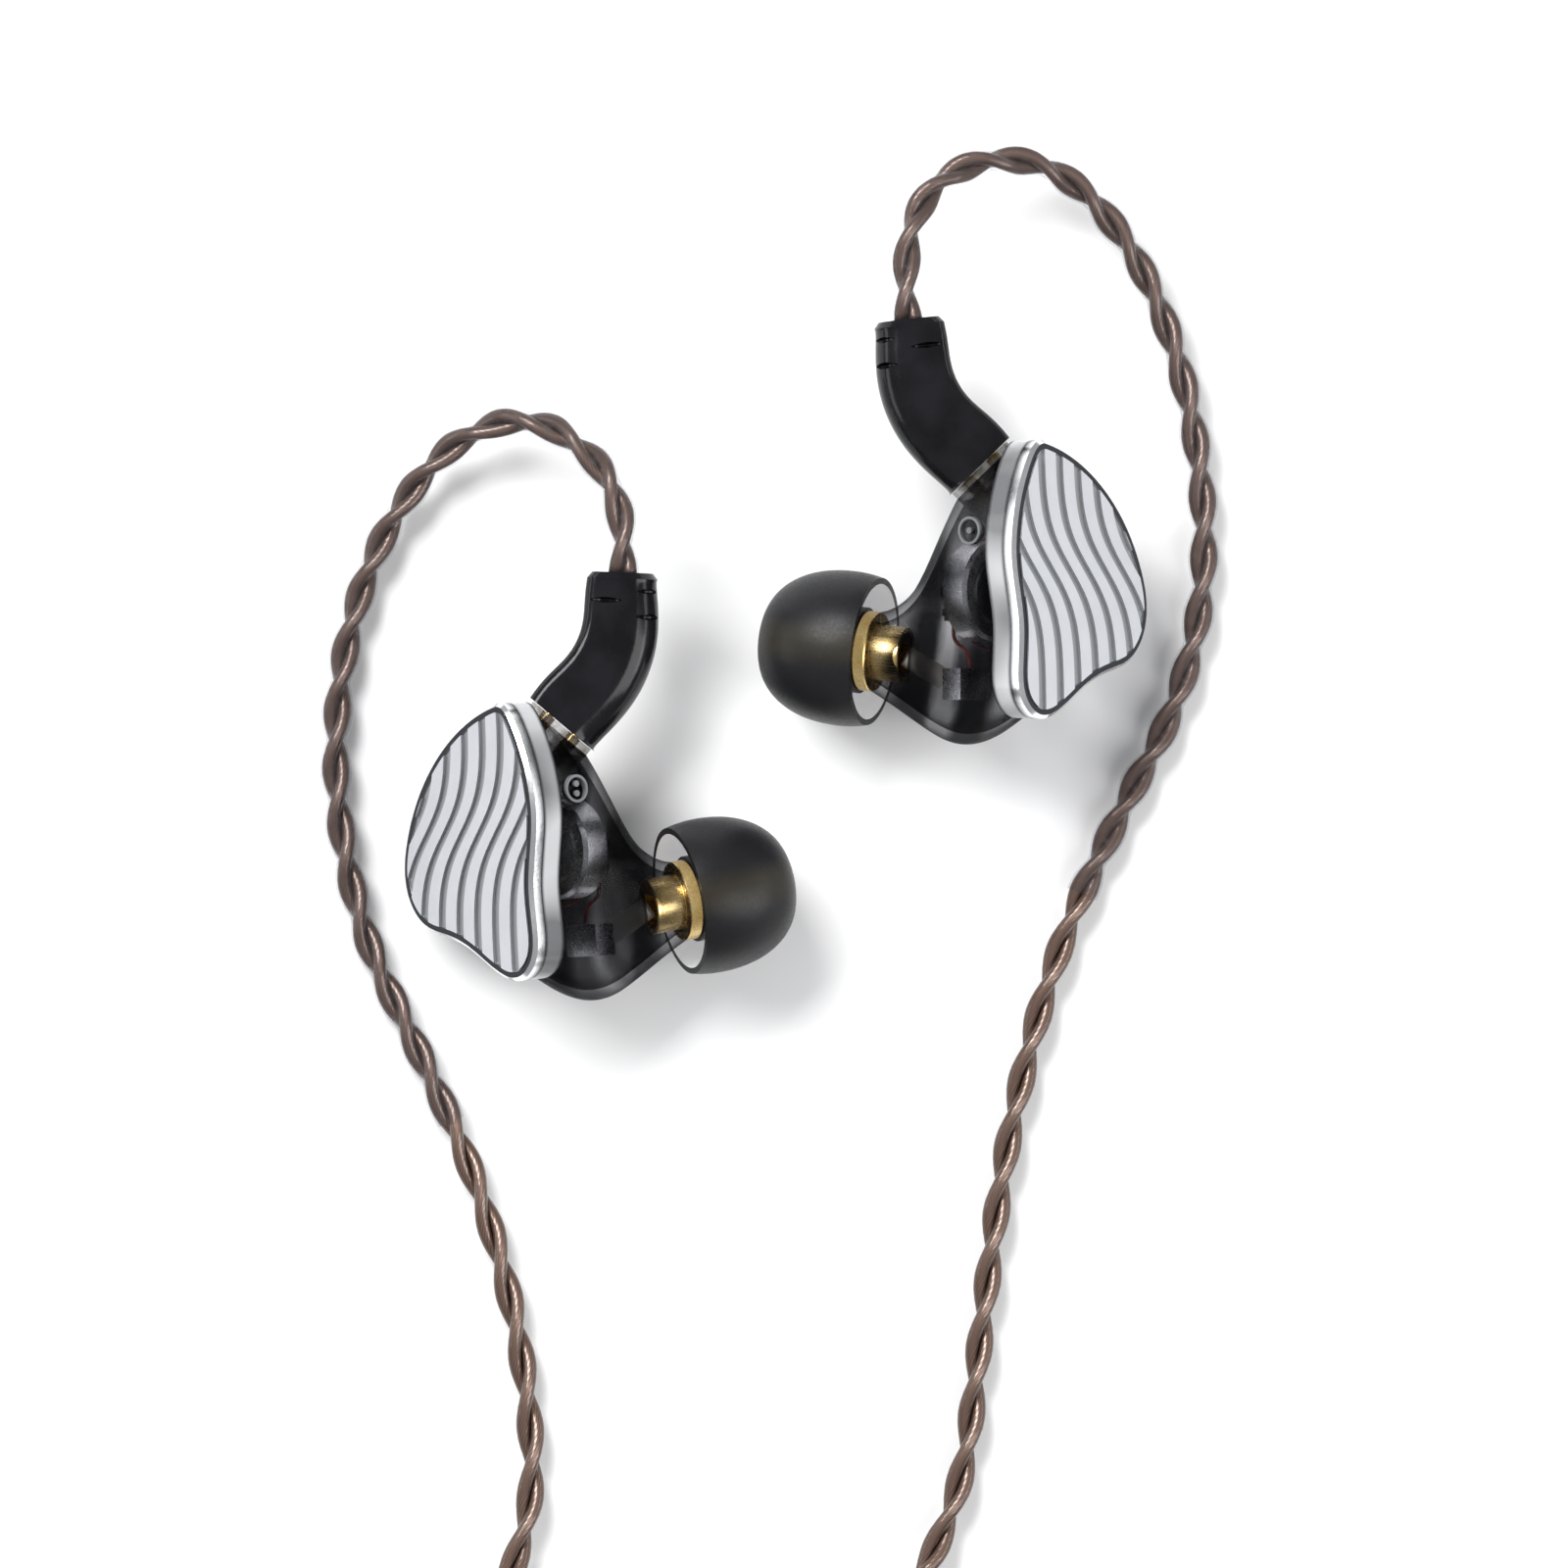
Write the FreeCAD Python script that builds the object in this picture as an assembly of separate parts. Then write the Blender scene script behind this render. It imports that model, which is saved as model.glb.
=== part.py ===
import FreeCAD, Part
import math
import os

V = FreeCAD.Vector
UP = V(0, 0, 1)
RIGHT = V(1, 0, 0)
ORIGIN = V(0, 0, 0)

# ---- Driving dimensions, in millimetres and degrees -------------------------------------------
# Where the earpieces lie. The face plate leans back from the table by LEAN, about the Y axis.
LEAN = 50.0
PLATE_HEIGHT = 11.64  # centre of the face plate above the table
SIDES = {
    "left": {"mirror": False, "turn": 0.0, "at": V(25.1, 6.3, PLATE_HEIGHT)},
    "right": {"mirror": True, "turn": 4.0, "at": V(-25.2, -15.4, PLATE_HEIGHT)},
}

# Face plate outline, seen from outside the left ear: x to the back of the head, y up.
PLATE_OUTLINE = [
    (-4.7, 11.5), (0.7, 9.5), (5.6, 5.4), (8.2, 1.0), (8.9, -2.0), (8.5, -4.2),
    (6.7, -6.4), (3.4, -7.5), (0.4, -8.8), (-2.6, -10.6), (-5.5, -11.2), (-7.5, -9.6),
    (-7.9, -6.8), (-7.8, -3.8), (-8.3, -0.9), (-8.8, 2.0), (-8.5, 5.4), (-7.2, 9.2),
]
BEZEL_DEPTH = 1.1
BEZEL_WIDTH = 0.75
BEZEL_CHAMFER = 0.3
LID_DEPTH = 2.0
PLATE_DEPTH = 0.85
PLATE_PROUD = 0.12
GROOVE_PITCH = 2.34
GROOVE_WIDTH = 0.92
GROOVE_DEPTH = 0.22
GROOVE_START = 0.5  # where the middle groove lies
GROOVES_EACH_WAY = 6
WAVE_SHIFT = 7.3  # how far a groove moves back between the top and the bottom of the plate
WAVE_LENGTH = 4.0
WAVE_MIDDLE = 1.0

# Shell sections behind the lid: depth, then x and y limits, then roundness from 0 (plate
# outline) to 1 (ellipse), then how far the section has turned towards the nozzle's axis.
SHELL_SECTIONS = [
    (3.1, -8.8, 8.9, -11.2, 11.5, 0.0, 0.0),
    (6.0, -8.8, 8.9, -12.9, 10.2, 0.1, 0.0),
    (9.0, -8.6, 7.4, -13.8, 7.4, 0.4, 0.1),
    (11.5, -9.0, 2.2, -12.8, 2.6, 0.8, 0.35),
    (13.4, -10.2, -2.9, -10.5, -1.4, 1.0, 0.8),
]
SHELL_WALL = 0.9
COLLAR_WALL = 0.8  # around the socket block
COLLAR_DROP = 2.4  # how far the collar ends below the hood
SEAT_DROP = 0.6  # how far the shell stays below the hood
SEAT_RADIUS = 9.0

# Raised ring on the shell, with one dot inside on the left and two on the right
MARK_CENTRE = V(-8.75, 4.1, -4.6)
MARK_AXIS = V(-1, 0, 0)
MARK_RADIUS, MARK_WIDTH, MARK_LIFT, MARK_ROOT = 1.15, 0.22, 0.25, 0.35
DOT_RADIUS, DOT_SPACING = 0.26, 0.8

# Nozzle and silicone tip
NECK_CENTRE = V(-8.35, -5.75, -14.8)
NECK_RADIUS = 3.3
NOZZLE_AXIS = V(-0.353, 0.115, -0.928).normalize()
FLANGE_RADIUS, FLANGE_DEPTH, FLANGE_CHAMFER = 3.3, 1.15, 0.12
NOZZLE_ROOT_RADIUS, NOZZLE_ROOT_DEPTH = 2.3, 2.4  # the end glued into the neck
NOZZLE_BODY_RADIUS = 2.4
NOZZLE_LIP_RADIUS, NOZZLE_LIP_LENGTH = 2.7, 1.2
NOZZLE_BORE_RADIUS = 1.9
NOZZLE_LENGTH = 5.2
MESH_RADIUS, MESH_SEAT, MESH_DEPTH, MESH_HOLE = 2.05, 0.3, 0.2, 0.16
MESH_CIRCLES = ((1, 0.0), (6, 0.62), (12, 1.24), (18, 1.76))  # holes, circle radius
TIP_RADIUS, TIP_LENGTH = 6.4, 9.3
TIP_WIDEST = 0.74  # where the dome is widest, as a share of its length from the front
TIP_RIM_DRAW = 0.3  # how much narrower the rim is
TIP_WALL = 0.5
TIP_NOSE_RADIUS = 1.9
TIP_HOLE_RADIUS, TIP_HOLE_DEPTH = 1.5, 2.9
TIP_BORE_RADIUS, TIP_CORE_RADIUS, TIP_CORE_END = 2.76, 3.56, 8.4
TIP_REST = FLANGE_DEPTH + 0.05 + TIP_CORE_END  # the tip's front, from the neck

# What the shell holds
DRIVER_CENTRE = V(-3.0, -0.8, -6.6)
DRIVER_RADIUS, DRIVER_DEPTH = 4.1, 2.3
ARMATURE_CENTRE = V(-4.4, -8.4, -8.6)
ARMATURE_SIZE = (3.9, 2.6, 1.9)
SPOUT_AT, SPOUT_RADIUS, SPOUT_LENGTH = V(-0.6, 0.4, -0.95), 0.6, 0.9  # on the armature
SOUND_TUBE_RADIUS, SOUND_TUBE_BORE = 0.9, 0.55
BOARD_CENTRE = V(-3.4, -1.6, -10.3)
BOARD_SIZE = (3.0, 3.2, 0.5)
BOARD_CHIPS = (  # size, then place on the board
    ((1.1, 0.8, 0.6), V(-0.7, 0.8, -0.55)), ((0.9, 1.3, 0.5), V(0.8, -0.2, -0.5)),
    ((0.8, 0.6, 0.5), V(-0.8, -0.9, -0.5)),
)
LEAD_RADIUS = 0.16
END_GAP = 0.05  # between a lead's end and what it is soldered to

# Two-pin connector, on the bench frame of the left earpiece: x right, y up, z off the table.
PIN_AXIS = V(-0.695, 0.719, 0).normalize()
HOOD_BASE = V(-8.4, 9.4, -1.2)
HOOD_CORNER = V(-13.45, 14.6, -1.2)
HOOD_TOP = V(-14.2, 21.5, -1.2)
HOOD_BEND_RADIUS = 9.0
HOOD_BASE_WIDTH, HOOD_BASE_THICKNESS = 6.9, 5.2
HOOD_TOP_WIDTH, HOOD_TOP_THICKNESS = 5.8, 4.6
HOOD_CORNER_RADIUS = 0.9
HOOD_END_LENGTH, HOOD_END_DRAW = 0.5, 0.8  # the bevelled end round the cord
HOOD_BEND_STEPS = 4
# Notches that let the hood's end flex: distance from its end, outwards, and up from the middle
FLEX_NOTCHES = ((1.5, 2.9, 2.2), (3.6, 2.9, 2.2), (2.3, -1.3, 3.2))
NOTCH_RADIUS, NOTCH_HEIGHT, NOTCH_RIM, NOTCH_FLAT = 1.6, 0.66, 0.06, 0.5
PIN_RADIUS = 0.39
PIN_CLEARANCE = 0.02
PIN_SPACING = 2.7
PIN_LENGTH, PIN_ROOT, PIN_POINT = 4.6, 1.6, 0.25
INSERT_WIDTH, INSERT_THICKNESS = 5.0, 3.4
BLOCK_WIDTH, BLOCK_THICKNESS, BLOCK_DEPTH = 6.2, 4.5, 5.4
SOCKET_GAP = 0.05
CONTACT_RADIUS, CONTACT_LENGTH = 0.62, BLOCK_DEPTH + 0.5
WIRING_DEPTH = 2.4  # room behind the socket block for the contacts' ends

# Cords
CORD_RADIUS = 1.2
SLEEVE_RADIUS = 1.4
SLEEVE_BORE = 1.22
MAIN_RADIUS = 1.4
EAR_COIL_CENTRE = V(-23.6, -103.6, 0)
EAR_TURN_RADII = (12.0, 14.45)  # left cord, right cord
EAR_LAYERS = 3
EAR_LAYER_RISE = 2.45
MAIN_COIL_CENTRE = V(34.4, -97.8, 0)
MAIN_TURN_RADII = (10.6, 19.0)  # innermost and outermost turns
MAIN_LAYERS = 2
MAIN_LAYER_RISE = 2.8
HOOK_HEIGHT = PLATE_HEIGHT + HOOD_TOP.z

# Plug, lying beside the coils and pointing along -X
PLUG_START = V(33.9, -141.8, 3.7)
PLUG_WAY = V(-1, 0, 0)
RELIEF_LENGTH, RELIEF_RADIUS = 12.0, 2.7
BARREL_LENGTH, BARREL_RADIUS = 20.0, 3.6
BARREL_GROOVE, BARREL_GROOVE_START = 0.25, 17.0  # a fine groove near the contacts
PLUG_RADIUS, PLUG_CORE_RADIUS = 1.75, 0.8
PLUG_CONTACTS = (("plug_sleeve", 0.0, 5.4), ("plug_ring", 6.0, 8.4))
PLUG_TIP_START, PLUG_TIP_END = 9.0, 14.0
PLUG_NECK_RADIUS, PLUG_HEAD_RADIUS, PLUG_POINT_RADIUS = 1.3, 1.7, 0.8

# Splitter and slider, on the two tails
TAIL_GAP = EAR_TURN_RADII[1] - EAR_TURN_RADII[0]
TAIL_Y = EAR_COIL_CENTRE.y - (EAR_TURN_RADII[0] + EAR_TURN_RADII[1]) / 2
TAIL_START_Z, TAIL_END_Z = CORD_RADIUS, 2.3
SPLITTER_START, SPLITTER_LENGTH, CAP_LENGTH = 5.4, 10.5, 2.5
SPLITTER_RADIUS = 3.1
CAP_END_RADIUS = 1.9
SLIDER_GAP = 0.6  # between the slider and the splitter
SLIDER_SIZE = (5.0, 6.4, 3.3)
SLIDER_ROUNDING = 1.1
SLIDER_CLEARANCE = 0.05
RUN_SHARE = 0.45  # how much of the shorter run an arc takes up
EAR_COIL_TOP = CORD_RADIUS * 2 + (EAR_LAYERS - 1) * EAR_LAYER_RISE
EAR_COIL_Z = EAR_COIL_TOP - CORD_RADIUS  # height of the uppermost turn
MAIN_COIL_TOP = MAIN_RADIUS * 2 + (MAIN_LAYERS - 1) * MAIN_LAYER_RISE
MAIN_COIL_Z = MAIN_COIL_TOP - MAIN_RADIUS

# Cord routes: each starts at its hood, goes round the hook, down to the coil. The first two
# points lie on the hood's own line, this far apart.
EXIT_RUN = {"left": 6.8, "right": 5.2}
EAR_ROUTES = {
    "left": [
        V(14.4, 40.8, HOOK_HEIGHT - 2.0), V(22.8, 41.4, HOOK_HEIGHT - 5.0), V(30.1, 33.8, 2.8),
        V(34.6, 21.4, 1.6), V(35.9, 7.4, 1.45), V(33.5, -3.6, 1.45), V(28.2, -13.2, 1.45),
        V(23.0, -24.6, 1.4), V(19.1, -39.6, 1.25), V(17.0, -55.6, 1.25), V(15.4, -70.1, 1.25),
        V(8.9, -81.1, 2.6), V(-1.6, -87.6, 4.6), V(-12.6, -91.6, EAR_COIL_Z),
        V(-23.6, -91.6, EAR_COIL_Z),
    ],
    "right": [
        V(-15.0, 17.0, HOOK_HEIGHT - 1.8), V(-20.6, 20.4, HOOK_HEIGHT - 4.2),
        V(-27.4, 17.8, HOOK_HEIGHT - 7.0), V(-33.1, 9.8, 1.8), V(-36.2, -0.6, 1.45),
        V(-36.6, -11.6, 1.45), V(-34.2, -23.0, 1.45), V(-29.9, -31.6, 1.45),
        V(-24.4, -43.6, 1.4), V(-20.6, -58.1, 1.25), V(-19.8, -72.6, 1.45), V(-27.8, -86.2, 4.8),
        V(-34.67, -94.31, EAR_COIL_Z),
    ],
}
SLEEVE_CORNERS = {"left": 8, "right": 9}  # the last corner of each cord inside its sleeve
SLEEVE_END_SHARE = 0.5  # where the sleeve ends, on the run after that corner
SPLITTER_END = V(SPLITTER_START + SPLITTER_LENGTH + CAP_LENGTH, TAIL_Y, SPLITTER_RADIUS)
MAIN_ROUTE = [
    SPLITTER_END, SPLITTER_END + V(5.0, 0, 0), V(29.2, TAIL_Y, MAIN_RADIUS),
    V(MAIN_COIL_CENTRE.x, TAIL_Y, MAIN_RADIUS),
]
MAIN_TAIL_ROUTE = [
    V(MAIN_COIL_CENTRE.x, TAIL_Y, MAIN_COIL_Z), V(43.9, TAIL_Y, MAIN_COIL_Z),
    V(53.4, -120.2, 3.9), V(57.4, -129.6, 3.7), V(52.9, -138.6, 3.7),
    V(42.9, PLUG_START.y, PLUG_START.z), PLUG_START,
]


# ---- Helpers ----------------------------------------------------------------------------------
def placed(shape, at, direction):
    """A shape drawn along +Z from the origin, moved to start at a point along a direction."""
    moved = shape.copy()
    turn = FreeCAD.Placement(at, FreeCAD.Rotation(UP, direction))
    moved.Placement = turn.multiply(moved.Placement)
    return moved


def turned(profile, at=ORIGIN, direction=UP):
    """A solid of revolution from (distance along the axis, radius) points."""
    corners = [V(r, 0, s) for s, r in profile]
    face = Part.Face(Part.makePolygon(corners + corners[:1]))
    return placed(face.revolve(ORIGIN, UP, 360), at, direction)


def rod(radius, length, at=ORIGIN, direction=UP):
    return placed(Part.makeCylinder(radius, length), at, direction)


def ring(outer, inner, length, at=ORIGIN, direction=UP):
    return rod(outer, length, at, direction).cut(rod(inner, length, at, direction))


def box(size, centre):
    corner = V(-size[0] / 2, -size[1] / 2, -size[2] / 2) + centre
    return Part.makeBox(size[0], size[1], size[2], corner)


def closed_curve(points):
    curve = Part.BSplineCurve()
    curve.interpolate(points, PeriodicFlag=True)
    return Part.Wire(curve.toShape())


def stadium(width, thickness, depth, at, direction):
    """A prism with rounded ends, its long side square to UP."""
    r = thickness / 2
    half = width / 2 - r
    across = direction.cross(UP).normalize()
    wall = box((2 * half, thickness, depth), V(0, 0, depth / 2))
    body = wall.fuse([rod(r, depth, V(x, 0, 0)) for x in (-half, half)]).removeSplitter()
    turn = FreeCAD.Rotation(across, UP, direction, "ZXY")
    body.Placement = FreeCAD.Placement(at, turn)
    return body


def inset_outline(inset, depth):
    """The plate's outline, moved inwards, at a depth below the plate's face."""
    points = [V(x, y, 0) for x, y in PLATE_OUTLINE]
    moved = []
    for i, point in enumerate(points):
        along = (points[(i + 1) % len(points)] - points[i - 1]).normalize()
        inward = V(along.y, -along.x, 0)
        moved.append(point + inward * inset - UP * depth)
    return closed_curve(moved)


def slab(inset, top, bottom):
    face = Part.Face(inset_outline(inset, top))
    return face.extrude(V(0, 0, top - bottom))


def route(points, end=None):
    """Straight runs joined by tangent arcs, each as large as its shorter run allows. With an
    end, the path stops there, on its last run."""
    edges = []
    start = points[0]
    for before, corner, after in zip(points, points[1:], points[2:]):
        back = (before - corner).normalize()
        ahead = (after - corner).normalize()
        turn = math.pi - back.getAngle(ahead)
        reach = RUN_SHARE * min((before - corner).Length, (after - corner).Length)
        radius = reach / math.tan(turn / 2)
        first = corner + back * reach
        last = corner + ahead * reach
        middle_way = (back + ahead).normalize()
        centre = corner + middle_way * math.hypot(reach, radius)
        middle = centre - middle_way * radius
        edges.append(Part.LineSegment(start, first).toShape())
        edges.append(Part.Arc(first, middle, last).toShape())
        start = last
    edges.append(Part.LineSegment(start, end or points[-1]).toShape())
    return Part.Wire(edges)


def tube(name, points, radius, end=None):
    path = route(points, end)
    section = Part.Wire(Part.makeCircle(radius, points[0], points[1] - points[0]))
    solid = path.makePipeShell([section], True, False)
    expected = math.pi * radius**2 * path.Length
    radii = [round(e.Curve.Radius, 1) for e in path.Edges if hasattr(e.Curve, "Radius")]
    print(f"{name}: length {path.Length:.1f} mm, volume ratio {solid.Volume / expected:.4f}")
    print(f"{name}: arc radii {radii}")
    return solid


def side_place(shape, side):
    """Moves a shape from the left earpiece's bench frame to its own side."""
    place = SIDES[side]
    moved = shape.mirror(ORIGIN, RIGHT) if place["mirror"] else shape.copy()
    moved.rotate(ORIGIN, UP, place["turn"])
    moved.translate(place["at"])
    return moved


def to_bench(shape):
    """Moves a shape from the face plate's frame to the bench frame."""
    moved = shape.copy()
    moved.rotate(ORIGIN, V(0, 1, 0), LEAN)
    return moved


def from_bench(vector):
    """A bench direction or point as the face plate's frame sees it."""
    return FreeCAD.Rotation(V(0, 1, 0), -LEAN).multVec(vector)


# ---- Face plate, bezel and lid, in the plate's frame ------------------------------------------
def wave(offset, y):
    """The x of a groove's line at a height y."""
    return offset + WAVE_SHIFT / 2 * math.tanh((WAVE_MIDDLE - y) / WAVE_LENGTH)


def groove(offset):
    floor = PLATE_PROUD - GROOVE_DEPTH
    heights = range(14, -16, -2)
    sides = []
    for half in (-GROOVE_WIDTH / 2, GROOVE_WIDTH / 2):
        line = Part.BSplineCurve()
        line.interpolate([V(wave(offset, y) + half, y, floor) for y in heights])
        sides.append(line.toShape())
    ends = [
        Part.LineSegment(sides[0].Vertexes[i].Point, sides[1].Vertexes[i].Point).toShape()
        for i in (0, 1)
    ]
    face = Part.Face(Part.Wire(Part.__sortEdges__(sides + ends)))
    return face.extrude(UP)


def make_faceplate():
    plate = slab(BEZEL_WIDTH + 0.02, -PLATE_PROUD, PLATE_DEPTH - PLATE_PROUD)
    count = range(-GROOVES_EACH_WAY, GROOVES_EACH_WAY + 1)
    return plate.cut([groove(GROOVE_START + GROOVE_PITCH * i) for i in count])


def make_bezel():
    top = Part.makeLoft(
        [inset_outline(0, BEZEL_CHAMFER), inset_outline(BEZEL_CHAMFER, 0)], True, True
    )
    body = slab(0, BEZEL_CHAMFER, BEZEL_DEPTH).fuse(top)
    recess = slab(BEZEL_WIDTH, -1.0, PLATE_DEPTH - PLATE_PROUD)
    return body.cut(recess)


def make_lid():
    """The clear lid, with a recess for the socket block and for the wiring behind it."""
    lid = slab(0.05, BEZEL_DEPTH, BEZEL_DEPTH + LID_DEPTH)
    return lid.cut(socket_pocket(0, BLOCK_DEPTH + WIRING_DEPTH))


# ---- Shell ------------------------------------------------------------------------------------
def unit_outline():
    """The plate's outline, scaled so that it reaches from -1 to 1 both ways."""
    xs = [x for x, _ in PLATE_OUTLINE]
    ys = [y for _, y in PLATE_OUTLINE]
    mid_x = (min(xs) + max(xs)) / 2
    mid_y = (min(ys) + max(ys)) / 2
    return [V((x - mid_x) / (max(xs) - mid_x), (y - mid_y) / (max(ys) - mid_y), 0)
            for x, y in PLATE_OUTLINE]


def section_wire(centre, half_x, half_y, roundness, lean):
    """A closed section between the plate's outline and an ellipse, square to a direction that
    turns from straight down to the nozzle's axis as lean goes from 0 to 1."""
    whole = FreeCAD.Rotation(UP * -1, NOZZLE_AXIS)
    turn = FreeCAD.Rotation(whole.Axis, math.degrees(whole.Angle) * lean)
    points = []
    for unit in unit_outline():
        angle = math.atan2(unit.y, unit.x)
        oval = V(math.cos(angle), math.sin(angle), 0)
        mixed = unit * (1 - roundness) + oval * roundness
        points.append(centre + turn.multVec(V(mixed.x * half_x, mixed.y * half_y, 0)))
    return closed_curve(points)


def shell_loft(inset):
    wires = []
    for depth, x0, x1, y0, y1, roundness, lean in SHELL_SECTIONS:
        centre = V((x0 + x1) / 2, (y0 + y1) / 2, -depth)
        half_x = (x1 - x0) / 2 - inset
        half_y = (y1 - y0) / 2 - inset
        wires.append(section_wire(centre, half_x, half_y, roundness, lean))
    neck = NECK_RADIUS - inset
    wires.append(section_wire(NECK_CENTRE, neck, neck, 1.0, 1.0))
    return Part.makeLoft(wires, True, False)


def socket_pocket(extra, depth):
    """The space of the clear socket block, in the plate's frame."""
    base = HOOD_BASE - PIN_AXIS * SOCKET_GAP
    block = stadium(
        BLOCK_WIDTH + 2 * extra, BLOCK_THICKNESS + 2 * extra, depth + extra, base, PIN_AXIS * -1
    )
    block.rotate(ORIGIN, V(0, 1, 0), -LEAN)
    return block


def above_hood_line(drop):
    """Everything near the connector that lies beyond a plane below the hood."""
    start = HOOD_BASE - PIN_AXIS * (SOCKET_GAP + drop)
    return rod(SEAT_RADIUS, SEAT_RADIUS, from_bench(start), from_bench(PIN_AXIS))


def make_side_mark(dots):
    """A raised ring with one dot inside for the left ear, or two for the right."""
    base = MARK_CENTRE - MARK_AXIS * MARK_ROOT
    height = MARK_ROOT + MARK_LIFT
    pieces = [ring(MARK_RADIUS, MARK_RADIUS - MARK_WIDTH, height, base, MARK_AXIS)]
    for i in range(dots):
        rise = (i - (dots - 1) / 2) * DOT_SPACING
        pieces.append(rod(DOT_RADIUS, height, base + V(0, rise, 0), MARK_AXIS))
    return Part.Compound(pieces)


def make_shell(mark):
    """The smoked cup: a loft from the lid to the neck, with a collar round the socket block."""
    body = shell_loft(0).cut(above_hood_line(SEAT_DROP))
    lid_and_above = slab(-3.0, -9.0, SHELL_SECTIONS[0][0])
    collar = socket_pocket(COLLAR_WALL, BLOCK_DEPTH).cut(lid_and_above)
    body = body.fuse(collar.cut(above_hood_line(COLLAR_DROP)))
    body = body.cut(shell_loft(SHELL_WALL))
    root = NECK_CENTRE - NOZZLE_AXIS * (NOZZLE_ROOT_DEPTH + SHELL_WALL)
    neck_bore = rod(NOZZLE_ROOT_RADIUS, NOZZLE_ROOT_DEPTH + 2 * SHELL_WALL, root, NOZZLE_AXIS)
    return body.cut([socket_pocket(0, BLOCK_DEPTH), neck_bore, mark])


# ---- Nozzle and tip, in the plate's frame -----------------------------------------------------
def make_nozzle():
    """A brass tube with a flange that rests on the neck and a lip that holds the tip."""
    end = FLANGE_DEPTH + NOZZLE_LENGTH
    lip = end - NOZZLE_LIP_LENGTH
    profile = [
        (-NOZZLE_ROOT_DEPTH, NOZZLE_BORE_RADIUS), (-NOZZLE_ROOT_DEPTH, NOZZLE_ROOT_RADIUS),
        (0, NOZZLE_ROOT_RADIUS), (0, FLANGE_RADIUS - FLANGE_CHAMFER),
        (FLANGE_CHAMFER, FLANGE_RADIUS), (FLANGE_DEPTH - FLANGE_CHAMFER, FLANGE_RADIUS),
        (FLANGE_DEPTH, FLANGE_RADIUS - FLANGE_CHAMFER), (FLANGE_DEPTH, NOZZLE_BODY_RADIUS),
        (lip, NOZZLE_BODY_RADIUS), (lip + 0.2, NOZZLE_LIP_RADIUS),
        (end - 0.4, NOZZLE_LIP_RADIUS), (end, NOZZLE_BODY_RADIUS),
        (end, MESH_RADIUS), (end - MESH_SEAT, MESH_RADIUS), (end - MESH_SEAT, NOZZLE_BORE_RADIUS),
    ]
    return turned(profile, NECK_CENTRE, NOZZLE_AXIS)


def make_nozzle_mesh():
    holes = []
    for count, radius in MESH_CIRCLES:
        for i in range(count):
            angle = 2 * math.pi * i / count
            at = V(radius * math.cos(angle), radius * math.sin(angle), 0)
            holes.append(rod(MESH_HOLE, MESH_DEPTH, at))
    grille = rod(MESH_RADIUS, MESH_DEPTH).cut(holes)
    start = NECK_CENTRE + NOZZLE_AXIS * (FLANGE_DEPTH + NOZZLE_LENGTH - MESH_SEAT)
    return placed(grille, start, NOZZLE_AXIS)


def dome_point(s, inset=0):
    """A point of the silicone dome's profile, at a distance s from its front."""
    widest = TIP_WIDEST * TIP_LENGTH
    if s <= widest:
        swell = math.sqrt(1 - ((widest - s) / widest) ** 2.2)
        radius = TIP_NOSE_RADIUS + (TIP_RADIUS - TIP_NOSE_RADIUS) * swell
    else:
        radius = TIP_RADIUS - TIP_RIM_DRAW * ((s - widest) / (TIP_LENGTH - widest)) ** 2
    return V(radius - inset, 0, s)


def make_ear_tip():
    """The bullet-shaped silicone tip: a dome folded back over a core tube."""
    outer = Part.BSplineCurve()
    outer.interpolate([dome_point(s) for s in (0, 0.15, 0.6, 1.4, 2.6, 4.2, 6.0, 7.5, TIP_LENGTH)])
    inner = Part.BSplineCurve()
    inner.interpolate([dome_point(s, TIP_WALL) for s in (TIP_LENGTH, 7.5, 6.0, 4.2, 3.4)])
    web = TIP_HOLE_DEPTH + 0.1
    inside = [
        inner.EndPoint, V(TIP_CORE_RADIUS, 0, web), V(TIP_CORE_RADIUS, 0, TIP_CORE_END),
        V(TIP_BORE_RADIUS, 0, TIP_CORE_END), V(TIP_BORE_RADIUS, 0, TIP_HOLE_DEPTH),
        V(TIP_HOLE_RADIUS, 0, TIP_HOLE_DEPTH), V(TIP_HOLE_RADIUS, 0, 0), outer.StartPoint,
    ]
    edges = [outer.toShape(), Part.LineSegment(outer.EndPoint, inner.StartPoint).toShape()]
    edges.append(inner.toShape())
    edges += [Part.LineSegment(a, b).toShape() for a, b in zip(inside, inside[1:])]
    body = Part.Face(Part.Wire(edges)).revolve(ORIGIN, UP, 360)
    return placed(body, NECK_CENTRE + NOZZLE_AXIS * TIP_REST, NOZZLE_AXIS * -1)


# ---- What the shell holds, in the plate's frame -----------------------------------------------
def make_driver():
    """The dynamic driver's basket, magnet and diaphragm. It faces the nozzle."""
    back = UP * -1
    r = DRIVER_RADIUS
    bore = r - 0.4
    surround = bore - 0.02
    frame = turned([
        (0, 2.9), (0, r - 0.3), (0.3, r), (DRIVER_DEPTH, r), (DRIVER_DEPTH, bore), (1.9, bore),
        (1.2, 3.2), (1.2, 2.9),
    ], DRIVER_CENTRE, back)
    magnet = turned([
        (0, 0), (0, 2.5), (0.3, 2.8), (1.15, 2.8), (1.15, 1.6), (0.5, 1.6), (0.5, 1.3),
        (1.15, 1.3), (1.15, 0),
    ], DRIVER_CENTRE, back)
    diaphragm = turned([
        (1.35, 0), (1.85, 1.5), (1.45, 2.1), (1.95, 2.8), (1.95, surround), (2.05, surround),
        (2.1, 2.8), (1.57, 2.1), (1.97, 1.5), (1.47, 0),
    ], DRIVER_CENTRE, back)
    return frame, magnet, diaphragm


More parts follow.
